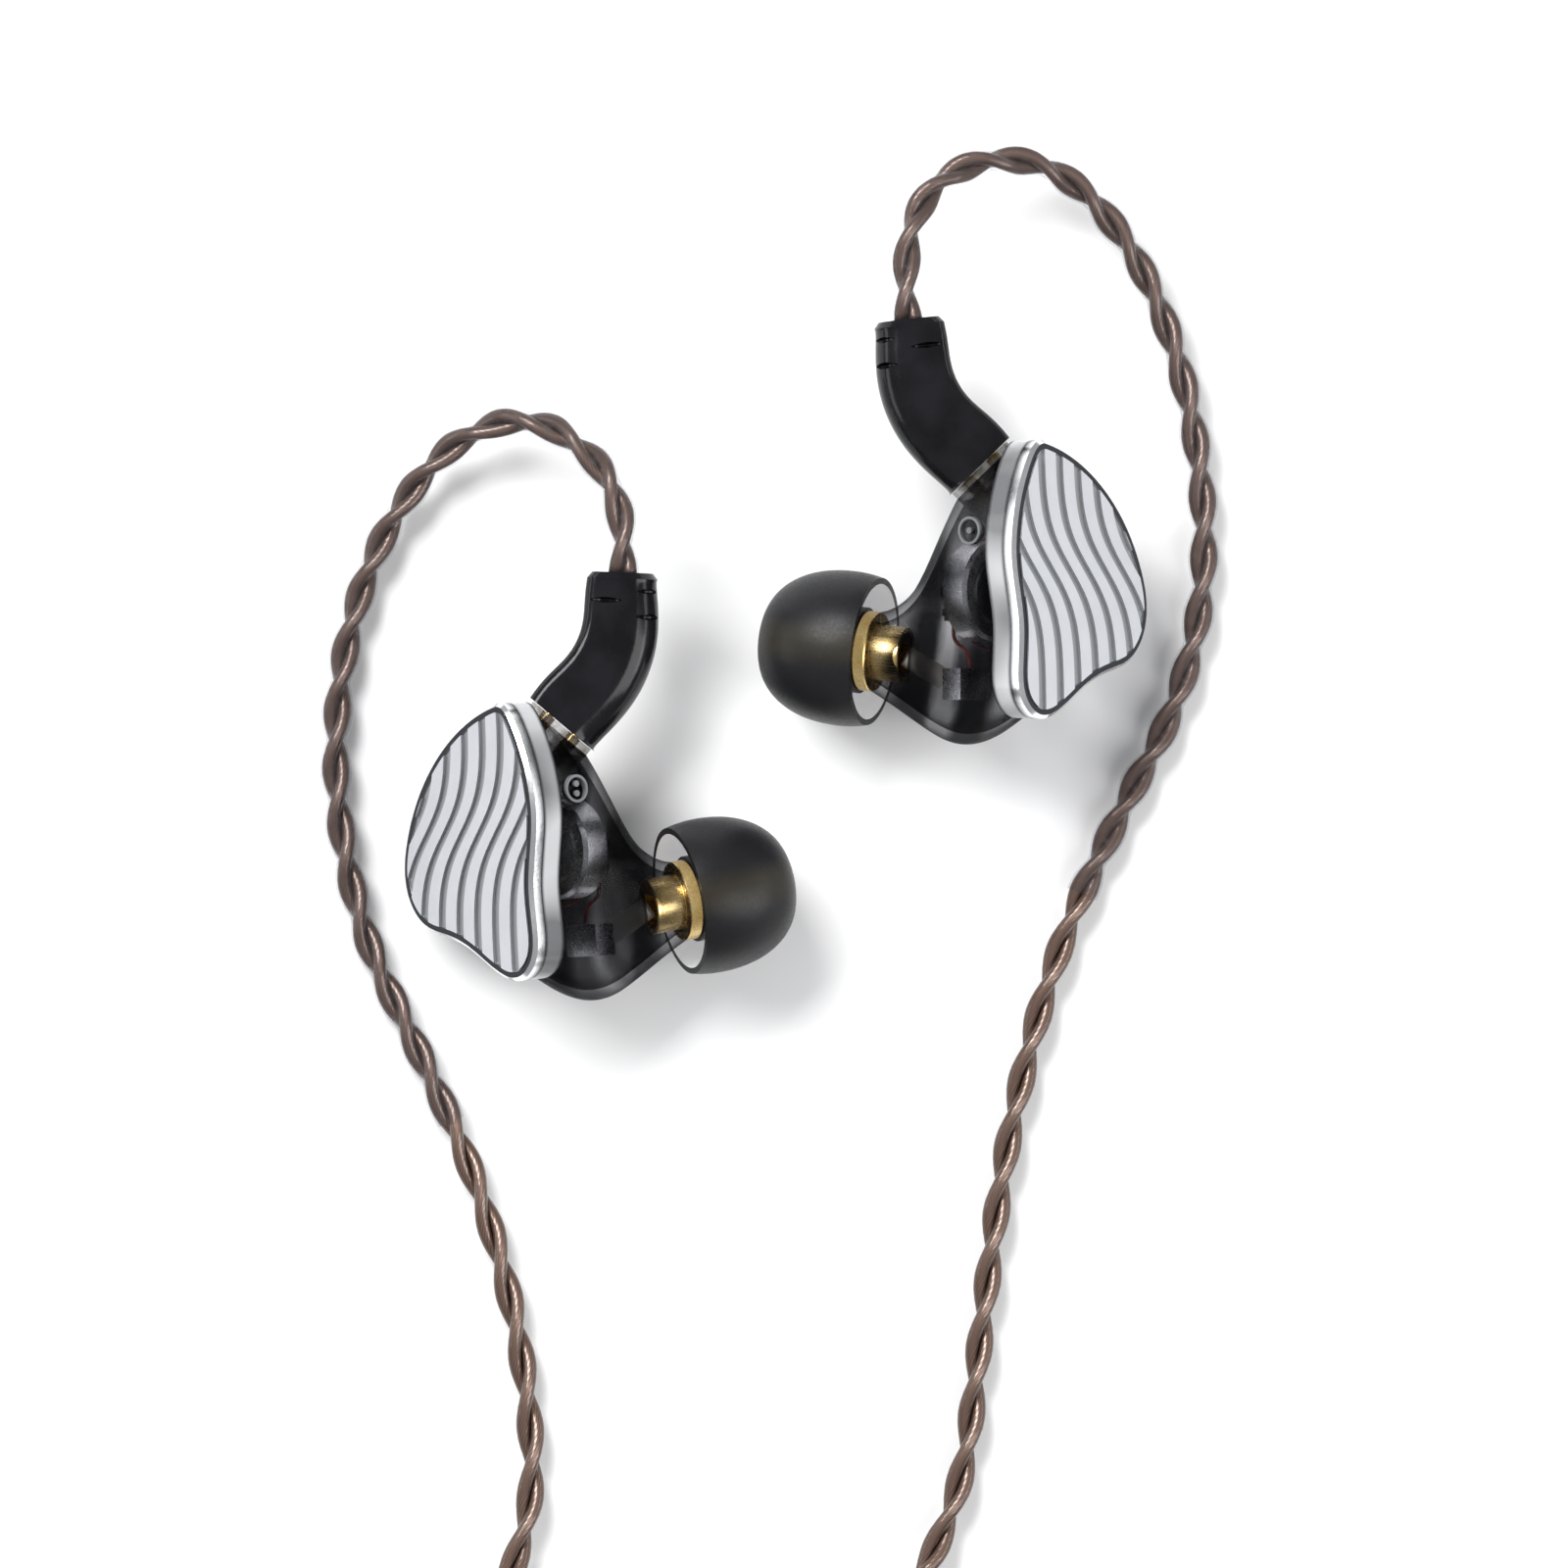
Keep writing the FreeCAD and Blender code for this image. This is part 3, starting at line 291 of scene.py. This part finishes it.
# ---- Material building blocks -------------------------------------------------------------------
class Paint:
    """A node material on a Principled shader, built up step by step."""

    def __init__(self, name, roughness=0.4, metallic=0.0, coat=0.0, specular=0.5):
        self.material = bpy.data.materials.new(name)
        self.material.use_nodes = True
        self.tree = self.material.node_tree
        self.shader = self.tree.nodes["Principled BSDF"]
        self.output = self.tree.nodes["Material Output"]
        coordinates = self.add("ShaderNodeTexCoord")
        self.place = coordinates.outputs["Object"]
        self.normal = coordinates.outputs["Normal"]
        self.put(self.shader.inputs["Roughness"], roughness)
        self.put(self.shader.inputs["Metallic"], metallic)
        self.put(self.shader.inputs["Coat Weight"], coat)
        self.put(self.shader.inputs["Specular IOR Level"], specular)

    def put(self, socket, value):
        if isinstance(value, bpy.types.NodeSocket):
            self.tree.links.new(value, socket)
        else:
            socket.default_value = value

    def add(self, kind, settings=None, **inputs):
        node = self.tree.nodes.new(kind)
        for name, value in (settings or {}).items():
            setattr(node, name, value)
        for name, value in inputs.items():
            self.put(node.inputs[name], value)
        return node

    def sum(self, operation, *values):
        node = self.add("ShaderNodeMath", {"operation": operation})
        for socket, value in zip(node.inputs, values):
            self.put(socket, value)
        return node.outputs[0]

    def vector(self, operation, *values):
        node = self.add("ShaderNodeVectorMath", {"operation": operation})
        for socket, value in zip(node.inputs, values):
            self.put(socket, value)
        return node.outputs["Value" if operation in ("DOT_PRODUCT", "LENGTH") else "Vector"]

    def noise(self, scale, detail=3.0, place=None):
        node = self.add("ShaderNodeTexNoise", Vector=place or self.place, Scale=scale, Detail=detail)
        return node.outputs["Fac"]

    def spread(self, value, low, high, to_low, to_high):
        """Takes a value from one range to another, and keeps it inside."""
        node = self.add("ShaderNodeMapRange", Value=value)
        limits = {"From Min": low, "From Max": high, "To Min": to_low, "To Max": to_high}
        for name, number in limits.items():
            node.inputs[name].default_value = number
        return node.outputs[0]

    def blend(self, factor, first, second):
        node = self.add("ShaderNodeMix", {"data_type": "RGBA"})
        self.put(node.inputs["Factor"], factor)
        self.put(node.inputs["A"], first if isinstance(first, bpy.types.NodeSocket) else (*first, 1))
        self.put(node.inputs["B"], second if isinstance(second, bpy.types.NodeSocket) else (*second, 1))
        return node.outputs["Result"]

    def colour(self, value):
        self.put(self.shader.inputs["Base Color"], value)

    def rough(self, value):
        self.put(self.shader.inputs["Roughness"], value)

    def bump(self, height, depth, strength=1.0):
        node = self.add("ShaderNodeBump", Height=height, Distance=depth, Strength=strength)
        self.put(self.shader.inputs["Normal"], node.outputs[0])

    def scaled(self, vector, share):
        node = self.add("ShaderNodeVectorMath", {"operation": "SCALE"}, Scale=share)
        self.put(node.inputs[0], vector)
        return node.outputs["Vector"]

    def edge_on(self, power):
        """0 where the surface faces the eye, 1 where it is seen edge on."""
        facing = self.add("ShaderNodeLayerWeight", Blend=0.5).outputs["Facing"]
        return self.sum("POWER", facing, power)

    def see_through(self, tint, haze, rim=0.9):
        """Light passes straight on, tinted. Near a grazing view the skin mirrors instead."""
        clear = self.add("ShaderNodeBsdfTransparent")
        self.put(clear.inputs["Color"], tint)
        share = self.sum("MULTIPLY_ADD", self.edge_on(5.0), rim, haze)
        mix = self.add("ShaderNodeMixShader", Fac=share)
        self.put(mix.inputs[1], clear.outputs[0])
        self.put(mix.inputs[2], self.shader.outputs[0])
        self.put(self.output.inputs["Surface"], mix.outputs[0])


GRAIN_SCALE = 6000.0


def worn(paint, dark, light, scale, rough_low, rough_high, depth=0.0):
    """Uneven colour and gloss, with a fine grain, over any plain finish."""
    broad = paint.noise(scale, 4.0)
    grain = paint.noise(GRAIN_SCALE, 2.0)
    paint.colour(paint.blend(paint.spread(broad, 0.35, 0.65, 0.0, 1.0), dark, light))
    paint.rough(paint.spread(grain, 0.3, 0.7, rough_low, rough_high))
    if depth:
        paint.bump(grain, depth)


# ---- Materials ---------------------------------------------------------------------------------
WIRES_ALONG, WIRES_ROUND = 5.0, 14.0  # fine wires, for each unit of the UV map


def cord_paint():
    """Clear brown insulation over stranded bronze-coloured wire, with painted shade darkening each strand
    towards its edges.
    """
    paint = Paint("bronze_cord", metallic=0.35, coat=0.8, specular=0.3)
    paint.shader.inputs["Coat Roughness"].default_value = 0.07
    paint.shader.inputs["Coat Tint"].default_value = (1.0, 0.88, 0.80, 1)
    paint.shader.inputs["Coat IOR"].default_value = 1.35
    along = paint.add("ShaderNodeUVMap", {"uv_map": "along"}).outputs[0]
    split = paint.add("ShaderNodeSeparateXYZ", Vector=along)
    lap = paint.sum("MULTIPLY", split.outputs[1], WIRES_ROUND)
    lay = paint.sum("MULTIPLY_ADD", split.outputs[0], WIRES_ALONG, lap)
    wave = paint.sum("SINE", paint.sum("MULTIPLY", lay, 2 * math.pi))
    wires = paint.spread(wave, -1.0, 1.0, 0.0, 1.0)
    cloud = paint.spread(paint.noise(500.0, 3.0), 0.3, 0.7, 0.0, 1.0)
    deep = paint.blend(wires, (0.10, 0.070, 0.058), (0.26, 0.185, 0.155))
    core = paint.blend(paint.sum("MULTIPLY", cloud, 0.45), deep, (0.17, 0.118, 0.096))
    # painted shade: the colour darkens to near black where a strand is seen edge on
    paint.colour(paint.blend(paint.edge_on(0.5), core, (0.008, 0.004, 0.003)))
    paint.rough(paint.spread(wires, 0.0, 1.0, 0.36, 0.26))
    paint.bump(wires, 0.00002, 0.35)
    return paint.material


def sleeve_paint():
    """A very clear film over the cord, slightly grey where it is seen edge on."""
    paint = Paint("shrink_sleeve")
    worn(paint, (0.20, 0.20, 0.21), (0.34, 0.34, 0.35), 900.0, 0.10, 0.22, 0.00001)
    tint = paint.blend(paint.noise(700.0), (0.90, 0.90, 0.91), (0.96, 0.96, 0.97))
    paint.see_through(tint, 0.03, 0.45)
    return paint.material


def resin_paint():
    """Smoked resin, with faint painted light streaks in its tint where its curved walls would bend the
    light.
    """
    paint = Paint("smoked_resin")
    worn(paint, (0.012, 0.012, 0.014), (0.030, 0.030, 0.034), 220.0, 0.03, 0.09)
    # painted light: bands of lighter and darker tint stand in for light bent by the curved walls
    painted_light_streaks = paint.add(
        "ShaderNodeTexWave", {"wave_type": "BANDS", "bands_direction": "X"},
        Vector=paint.place, Scale=55.0, Distortion=7.0, Detail=2.0,
    ).outputs["Fac"]
    tint = paint.blend(paint.spread(painted_light_streaks, 0.25, 0.75, 0.0, 1.0), (0.40, 0.40, 0.41), (0.92, 0.92, 0.93))
    paint.see_through(paint.blend(paint.edge_on(1.6), tint, (0.05, 0.05, 0.055)), 0.04, 0.30)
    return paint.material


def block_paint():
    """Clear resin of the contact block, with darker and yellower clouds inside."""
    paint = Paint("block_resin")
    worn(paint, (0.34, 0.33, 0.31), (0.66, 0.66, 0.66), 500.0, 0.03, 0.08)
    cloud = paint.spread(paint.noise(650.0, 4.0), 0.35, 0.65, 0.0, 1.0)
    paint.see_through(paint.blend(cloud, (0.30, 0.28, 0.24), (0.84, 0.84, 0.85)), 0.10)
    return paint.material


PLATE_CENTRE = {"left": (0.0251, 0.0063, 0.01164), "right": (-0.0252, -0.0154, 0.01164)}
PLATE_NORMAL = {"left": (0.7660, 0.0, 0.6428), "right": (-0.7642, -0.0534, 0.6428)}
RIDGE_TOP, RIDGE_EDGE = 0.00012, 0.00006  # above the bezel's face, and how deep its edge goes
BEZEL_DEPTH, LID_DEPTH = 0.0011, 0.0020


def height_over_bezel(paint, side):
    """How far a point lies in front of the bezel's face, along the face plate's normal."""
    offset = paint.vector("SUBTRACT", paint.place, PLATE_CENTRE[side])
    return paint.vector("DOT_PRODUCT", offset, PLATE_NORMAL[side])


def lid_paint(side):
    """Clear resin band behind the bezel, with painted light and shade: bright in its middle, dark lines
    along its two edges.
    """
    paint = Paint(f"{side}_lid_resin", roughness=0.05)
    height = height_over_bezel(paint, side)
    across = paint.spread(height, -BEZEL_DEPTH - LID_DEPTH, -BEZEL_DEPTH, -1.0, 1.0)
    # painted shade: dark lines along the band's two edges; painted light: a bright, cloudy middle
    edge = paint.spread(paint.sum("ABSOLUTE", across), 0.62, 0.92, 0.0, 1.0)
    cloud = paint.spread(paint.noise(110.0, 1.0), 0.38, 0.62, 0.0, 1.0)
    body = paint.blend(cloud, (0.26, 0.265, 0.275), (0.95, 0.96, 0.98))
    paint.colour(paint.blend(edge, body, (0.045, 0.045, 0.05)))
    paint.see_through(paint.blend(edge, (0.80, 0.81, 0.83), (0.30, 0.30, 0.31)), 0.55)
    return paint.material


def plate_paint(side):
    """Satin silver ridges, and darker grooves whose side walls are brightened by painted light."""
    paint = Paint(f"{side}_plate_metal", metallic=1.0)
    height = height_over_bezel(paint, side)
    raised = paint.spread(height, RIDGE_TOP - RIDGE_EDGE, RIDGE_TOP, 0.0, 1.0)
    level = paint.vector("DOT_PRODUCT", paint.normal, PLATE_NORMAL[side])
    grain = paint.noise(9000.0, 2.0)
    silver = paint.blend(paint.noise(350.0, 3.0), (0.46, 0.47, 0.49), (0.53, 0.54, 0.565))
    # painted light: groove walls that tilt away from the plate's face get a bright colour; the groove floor
    # keeps its darker tone
    groove_and_painted_walls = paint.blend(paint.spread(level, 0.3, 0.95, 0.0, 1.0), (0.80, 0.81, 0.83), (0.25, 0.255, 0.265))
    paint.colour(paint.blend(raised, groove_and_painted_walls, silver))
    paint.rough(paint.spread(grain, 0.3, 0.7, 0.34, 0.46))
    paint.bump(grain, 0.000004)
    return paint.material


def bezel_paint(side):
    """Polished metal with painted reflections: darker towards the lid, and a dark line round the plate on
    its front face.
    """
    paint = Paint(f"{side}_bezel_chrome", metallic=1.0)
    front = paint.vector("DOT_PRODUCT", paint.normal, PLATE_NORMAL[side])
    height = height_over_bezel(paint, side)
    # painted dark reflection: the wall darkens towards the lid, and the front face is nearly black
    painted_reflection_band = paint.spread(height, -BEZEL_DEPTH, -0.4 * BEZEL_DEPTH, 0.0, 1.0)
    bright = paint.blend(paint.noise(400.0, 3.0), (0.84, 0.85, 0.87), (0.95, 0.96, 0.97))
    wall = paint.blend(painted_reflection_band, (0.10, 0.102, 0.108), bright)
    paint.colour(paint.blend(paint.spread(front, 0.85, 0.95, 0.0, 1.0), wall, (0.030, 0.032, 0.036)))
    paint.rough(paint.spread(paint.noise(5000.0, 2.0), 0.3, 0.7, 0.16, 0.24))
    return paint.material


def brass_paint():
    paint = Paint("nozzle_brass", metallic=1.0)
    worn(paint, (0.66, 0.46, 0.17), (0.86, 0.65, 0.30), 500.0, 0.24, 0.36, 0.000003)
    return paint.material


def gold_paint():
    paint = Paint("gold_plating", metallic=1.0)
    worn(paint, (0.72, 0.48, 0.18), (0.90, 0.66, 0.30), 900.0, 0.12, 0.22)
    return paint.material


def steel_paint(name, dark, light, rough):
    paint = Paint(name, metallic=1.0)
    worn(paint, dark, light, 700.0, rough, rough + 0.12, 0.000004)
    return paint.material


def plastic_paint(name, dark, light, rough, depth=0.0, specular=0.5):
    paint = Paint(name, specular=specular)
    worn(paint, dark, light, 300.0, rough, rough + 0.08, depth)
    return paint.material


# Where each shell's neck ends on its nozzle's axis, and that axis's direction outwards
TIP_ROOT = {"left": (0.008396, 0.00055, 0.008523), "right": (-0.008136, -0.019971, 0.008523)}
TIP_AXIS = {"left": (-0.9383, 0.1151, -0.3263), "right": (0.9280, 0.1803, -0.3263)}
SKIRT_REACH, SKIRT_EDGE = 0.0042, 0.0003  # the skirt's inner face lies further out than this
SKIRT_PAINTED_GLOW = 0.26  # painted glow on the skirt's inner face, standing in for light that comes through the thin skirt
NOZZLE_INNER, NOZZLE_OUTER = 0.0006, 0.0020  # the painted warm glow of the nozzle fades out between these distances


def tip_paint(side):
    """Black silicone, with painted light: the inner face of its skirt is pale and glows,
    and a faint warm glow of the nozzle is painted along its middle."""
    paint = Paint(f"{side}_tip_silicone", specular=0.2)
    offset = paint.vector("SUBTRACT", paint.place, TIP_ROOT[side])
    along = paint.vector("DOT_PRODUCT", offset, TIP_AXIS[side])
    radial = paint.vector("SUBTRACT", offset, paint.scaled(TIP_AXIS[side], along))
    far = paint.spread(paint.vector("LENGTH", radial), SKIRT_REACH - SKIRT_EDGE, SKIRT_REACH, 0.0, 1.0)
    inward = paint.spread(paint.vector("DOT_PRODUCT", radial, paint.normal), 0.0, -0.001, 0.0, 1.0)
    sideways = paint.vector("DOT_PRODUCT", offset, Vector(TIP_AXIS[side]).cross(UP).normalized())
    middle = paint.spread(paint.sum("ABSOLUTE", sideways), NOZZLE_INNER, NOZZLE_OUTER, 1.0, 0.0)
    black = paint.blend(paint.noise(180.0, 3.0), (0.006, 0.006, 0.007), (0.015, 0.015, 0.017))
    # painted glow: a faint warm band along the middle, as if the nozzle showed through
    black_with_painted_glow = paint.blend(paint.sum("MULTIPLY", middle, 0.4), black, (0.036, 0.029, 0.015))
    # painted light: a pale colour and a glow on the skirt's inner face
    skirt = paint.blend(paint.noise(300.0), (0.86, 0.87, 0.89), (0.94, 0.95, 0.97))
    inner = paint.sum("MULTIPLY", far, inward)
    paint.colour(paint.blend(inner, black_with_painted_glow, skirt))
    paint.put(paint.shader.inputs["Emission Color"], skirt)
    paint.put(paint.shader.inputs["Emission Strength"], paint.sum("MULTIPLY", inner, SKIRT_PAINTED_GLOW))
    grain = paint.noise(4000.0, 3.0)
    paint.rough(paint.spread(grain, 0.3, 0.7, 0.34, 0.46))
    paint.bump(grain, 0.000006)
    return paint.material


def paint_node(node, material):
    data = nodes[node].data
    data.materials.clear()
    data.materials.append(material)


def paint_nodes():
    resin = resin_paint()
    block = block_paint()
    gold = gold_paint()
    brass = brass_paint()
    hood = plastic_paint("hood_gloss_black", (0.004, 0.004, 0.005), (0.009, 0.009, 0.011), 0.12, 0.0, 0.22)
    black = plastic_paint("matte_black", (0.010, 0.010, 0.010), (0.028, 0.028, 0.029), 0.36, 0.00001)
    rubber = plastic_paint("relief_rubber", (0.010, 0.010, 0.010), (0.022, 0.022, 0.023), 0.5, 0.00002)
    mark = plastic_paint("side_mark_grey", (0.09, 0.095, 0.10), (0.15, 0.155, 0.165), 0.35)
    lead = plastic_paint("lead_red", (0.12, 0.012, 0.012), (0.24, 0.026, 0.022), 0.3)
    board = plastic_paint("board_lacquer", (0.010, 0.014, 0.012), (0.03, 0.04, 0.035), 0.25)
    film = plastic_paint("diaphragm_film", (0.10, 0.10, 0.11), (0.22, 0.22, 0.23), 0.3)
    tube = plastic_paint("tube_silicone", (0.45, 0.42, 0.36), (0.62, 0.58, 0.50), 0.35)
    basket = steel_paint("driver_basket", (0.70, 0.70, 0.72), (0.92, 0.92, 0.94), 0.24)
    magnet = steel_paint("magnet_steel", (0.26, 0.26, 0.28), (0.42, 0.42, 0.44), 0.25)
    can = steel_paint("armature_can", (0.34, 0.34, 0.36), (0.52, 0.52, 0.54), 0.22)
    mesh = steel_paint("mesh_steel", (0.40, 0.40, 0.41), (0.60, 0.60, 0.61), 0.25)
    barrel = steel_paint("barrel_gunmetal", (0.10, 0.10, 0.105), (0.18, 0.18, 0.185), 0.28)
    each_side = {
        "shell": resin, "nozzle": brass, "nozzle_mesh": mesh,
        "side_mark": mark, "driver_frame": basket, "driver_magnet": magnet,
        "driver_diaphragm": film, "armature_driver": can, "sound_tube": tube,
        "crossover_board": board, "wires": lead, "socket_block": block, "socket_contacts": gold,
        "plug_hood": hood, "plug_insert": black, "plug_pins": gold,
    }
    for side in SIDES:
        for name, material in each_side.items():
            paint_node(f"{side}_{name}", material)
        paint_node(f"{side}_faceplate", plate_paint(side))
        paint_node(f"{side}_bezel", bezel_paint(side))
        paint_node(f"{side}_faceplate_base", lid_paint(side))
        paint_node(f"{side}_ear_tip", tip_paint(side))
    shared = {
        "chin_slider": black, "splitter_body": barrel, "splitter_cap": black,
        "plug_strain_relief": rubber, "plug_barrel": barrel, "plug_sleeve": gold,
        "plug_ring": gold, "plug_tip": gold, "plug_insulators": black,
    }
    for name, material in shared.items():
        paint_node(name, material)


# ---- The cords ---------------------------------------------------------------------------------
STRAND_GAP = 0.0004  # distance between rings along a strand
HOOK_LENGTH = {"left": 0.0887, "right": 0.0844}
HOOK_PITCH, CORD_PITCH, MAIN_PITCH = 0.0098, 0.0112, 0.0130
STRAND_RADIUS = 0.00058
MAIN_STRAND_RADIUS = 0.00057
FILM_GAP = 0.00002  # between a strand and the film over it
FILM_RADIUS = 0.00074  # the film's outer face, from the middle of a strand


def upto(line, length):
    """The first part of a line, up to a length along it."""
    done = 0.0
    for i in range(1, len(line)):
        done += (line[i] - line[i - 1]).length
        if done >= length:
            return line[:i + 1]
    return line


def add_ear_cord(side, cord_material, sleeve_material):
    line = evenly(spline_line(ear_route(side)), STRAND_GAP)
    angles = twist_angles(line, HOOK_LENGTH[side], HOOK_PITCH, CORD_PITCH)
    cord = add_strands(f"{side}_twisted_pair", line, angles, 2, STRAND_RADIUS, STRAND_RADIUS)
    cord.data.materials.append(cord_material)
    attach(cord, ROOT)
    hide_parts(f"{side}_ear_cord", f"{side}_cord_tail", "ear_cord_coil")
    hook = upto(line, HOOK_LENGTH[side])
    sleeve = add_sleeve(
        f"{side}_hook_film", hook, angles[:len(hook)], STRAND_RADIUS, STRAND_RADIUS + FILM_GAP, FILM_RADIUS
    )
    sleeve.data.materials.append(sleeve_material)
    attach(sleeve, ROOT)
    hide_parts(f"{side}_hook_sleeve")


def add_main_cord(cord_material):
    line = evenly(spline_line(MAIN_START + main_turns() + MAIN_END), STRAND_GAP)
    angles = twist_angles(line, 0.0, MAIN_PITCH, MAIN_PITCH)
    offset = MAIN_DIAMETER / 2 - MAIN_STRAND_RADIUS
    cord = add_strands("main_four_core", line, angles, 4, offset, MAIN_STRAND_RADIUS, 10)
    cord.data.materials.append(cord_material)
    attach(cord, ROOT)
    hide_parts("main_cord", "main_cord_coil", "main_cord_tail")


# ---- Stage -------------------------------------------------------------------------------------
FLOOR_SIZE, FLOOR_DROP = 6.0, 0.0001


def add_floor():
    bpy.ops.mesh.primitive_plane_add(size=FLOOR_SIZE, location=(0, 0, -FLOOR_DROP))
    floor = bpy.context.object
    floor.name = "floor"
    paint = Paint("pale_floor", roughness=0.9, specular=0.1)
    paint.colour(paint.blend(paint.noise(3.0, 2.0), (0.86, 0.86, 0.86), (0.88, 0.88, 0.88)))
    floor.data.materials.append(paint.material)


def add_lamp(name, spot, size, power, aim=(0, 0, 0)):
    data = bpy.data.lights.new(name, "AREA")
    data.shape = "RECTANGLE"
    data.size, data.size_y = size
    data.energy = power
    lamp = bpy.data.objects.new(name, data)
    lamp.location = spot
    lamp.rotation_euler = (Vector(aim) - Vector(spot)).to_track_quat("-Z", "Y").to_euler()
    bpy.context.scene.collection.objects.link(lamp)


def add_light():
    world = bpy.data.worlds.new("studio")
    bpy.context.scene.world = world
    world.use_nodes = True
    tree = world.node_tree
    background = tree.nodes["Background"]
    seen = tree.nodes.new("ShaderNodeLightPath")
    shade = tree.nodes.new("ShaderNodeMix")
    shade.data_type = "RGBA"
    tree.links.new(seen.outputs["Is Camera Ray"], shade.inputs["Factor"])
    shade.inputs["A"].default_value = (0.34, 0.345, 0.355, 1)
    shade.inputs["B"].default_value = (0.97, 0.97, 0.97, 1)
    tree.links.new(shade.outputs["Result"], background.inputs[0])
    background.inputs[1].default_value = 1.0
    add_lamp("key", (-0.30, 0.34, 0.55), (0.45, 0.30), 6.8)
    add_lamp("fill", (0.48, -0.16, 0.42), (0.30, 0.50), 2.6)
    add_lamp("left strip", (-0.42, 0.02, 0.13), (0.40, 0.10), 0.4)
    add_lamp("right strip", (0.42, 0.02, 0.17), (0.40, 0.10), 0.4)
    view = bpy.context.scene.view_settings
    view.view_transform = "Standard"


add_camera()
bronze = cord_paint()
film = sleeve_paint()
for side in SIDES:
    add_ear_cord(side, bronze, film)
add_main_cord(bronze)
paint_nodes()
add_floor()
add_light()
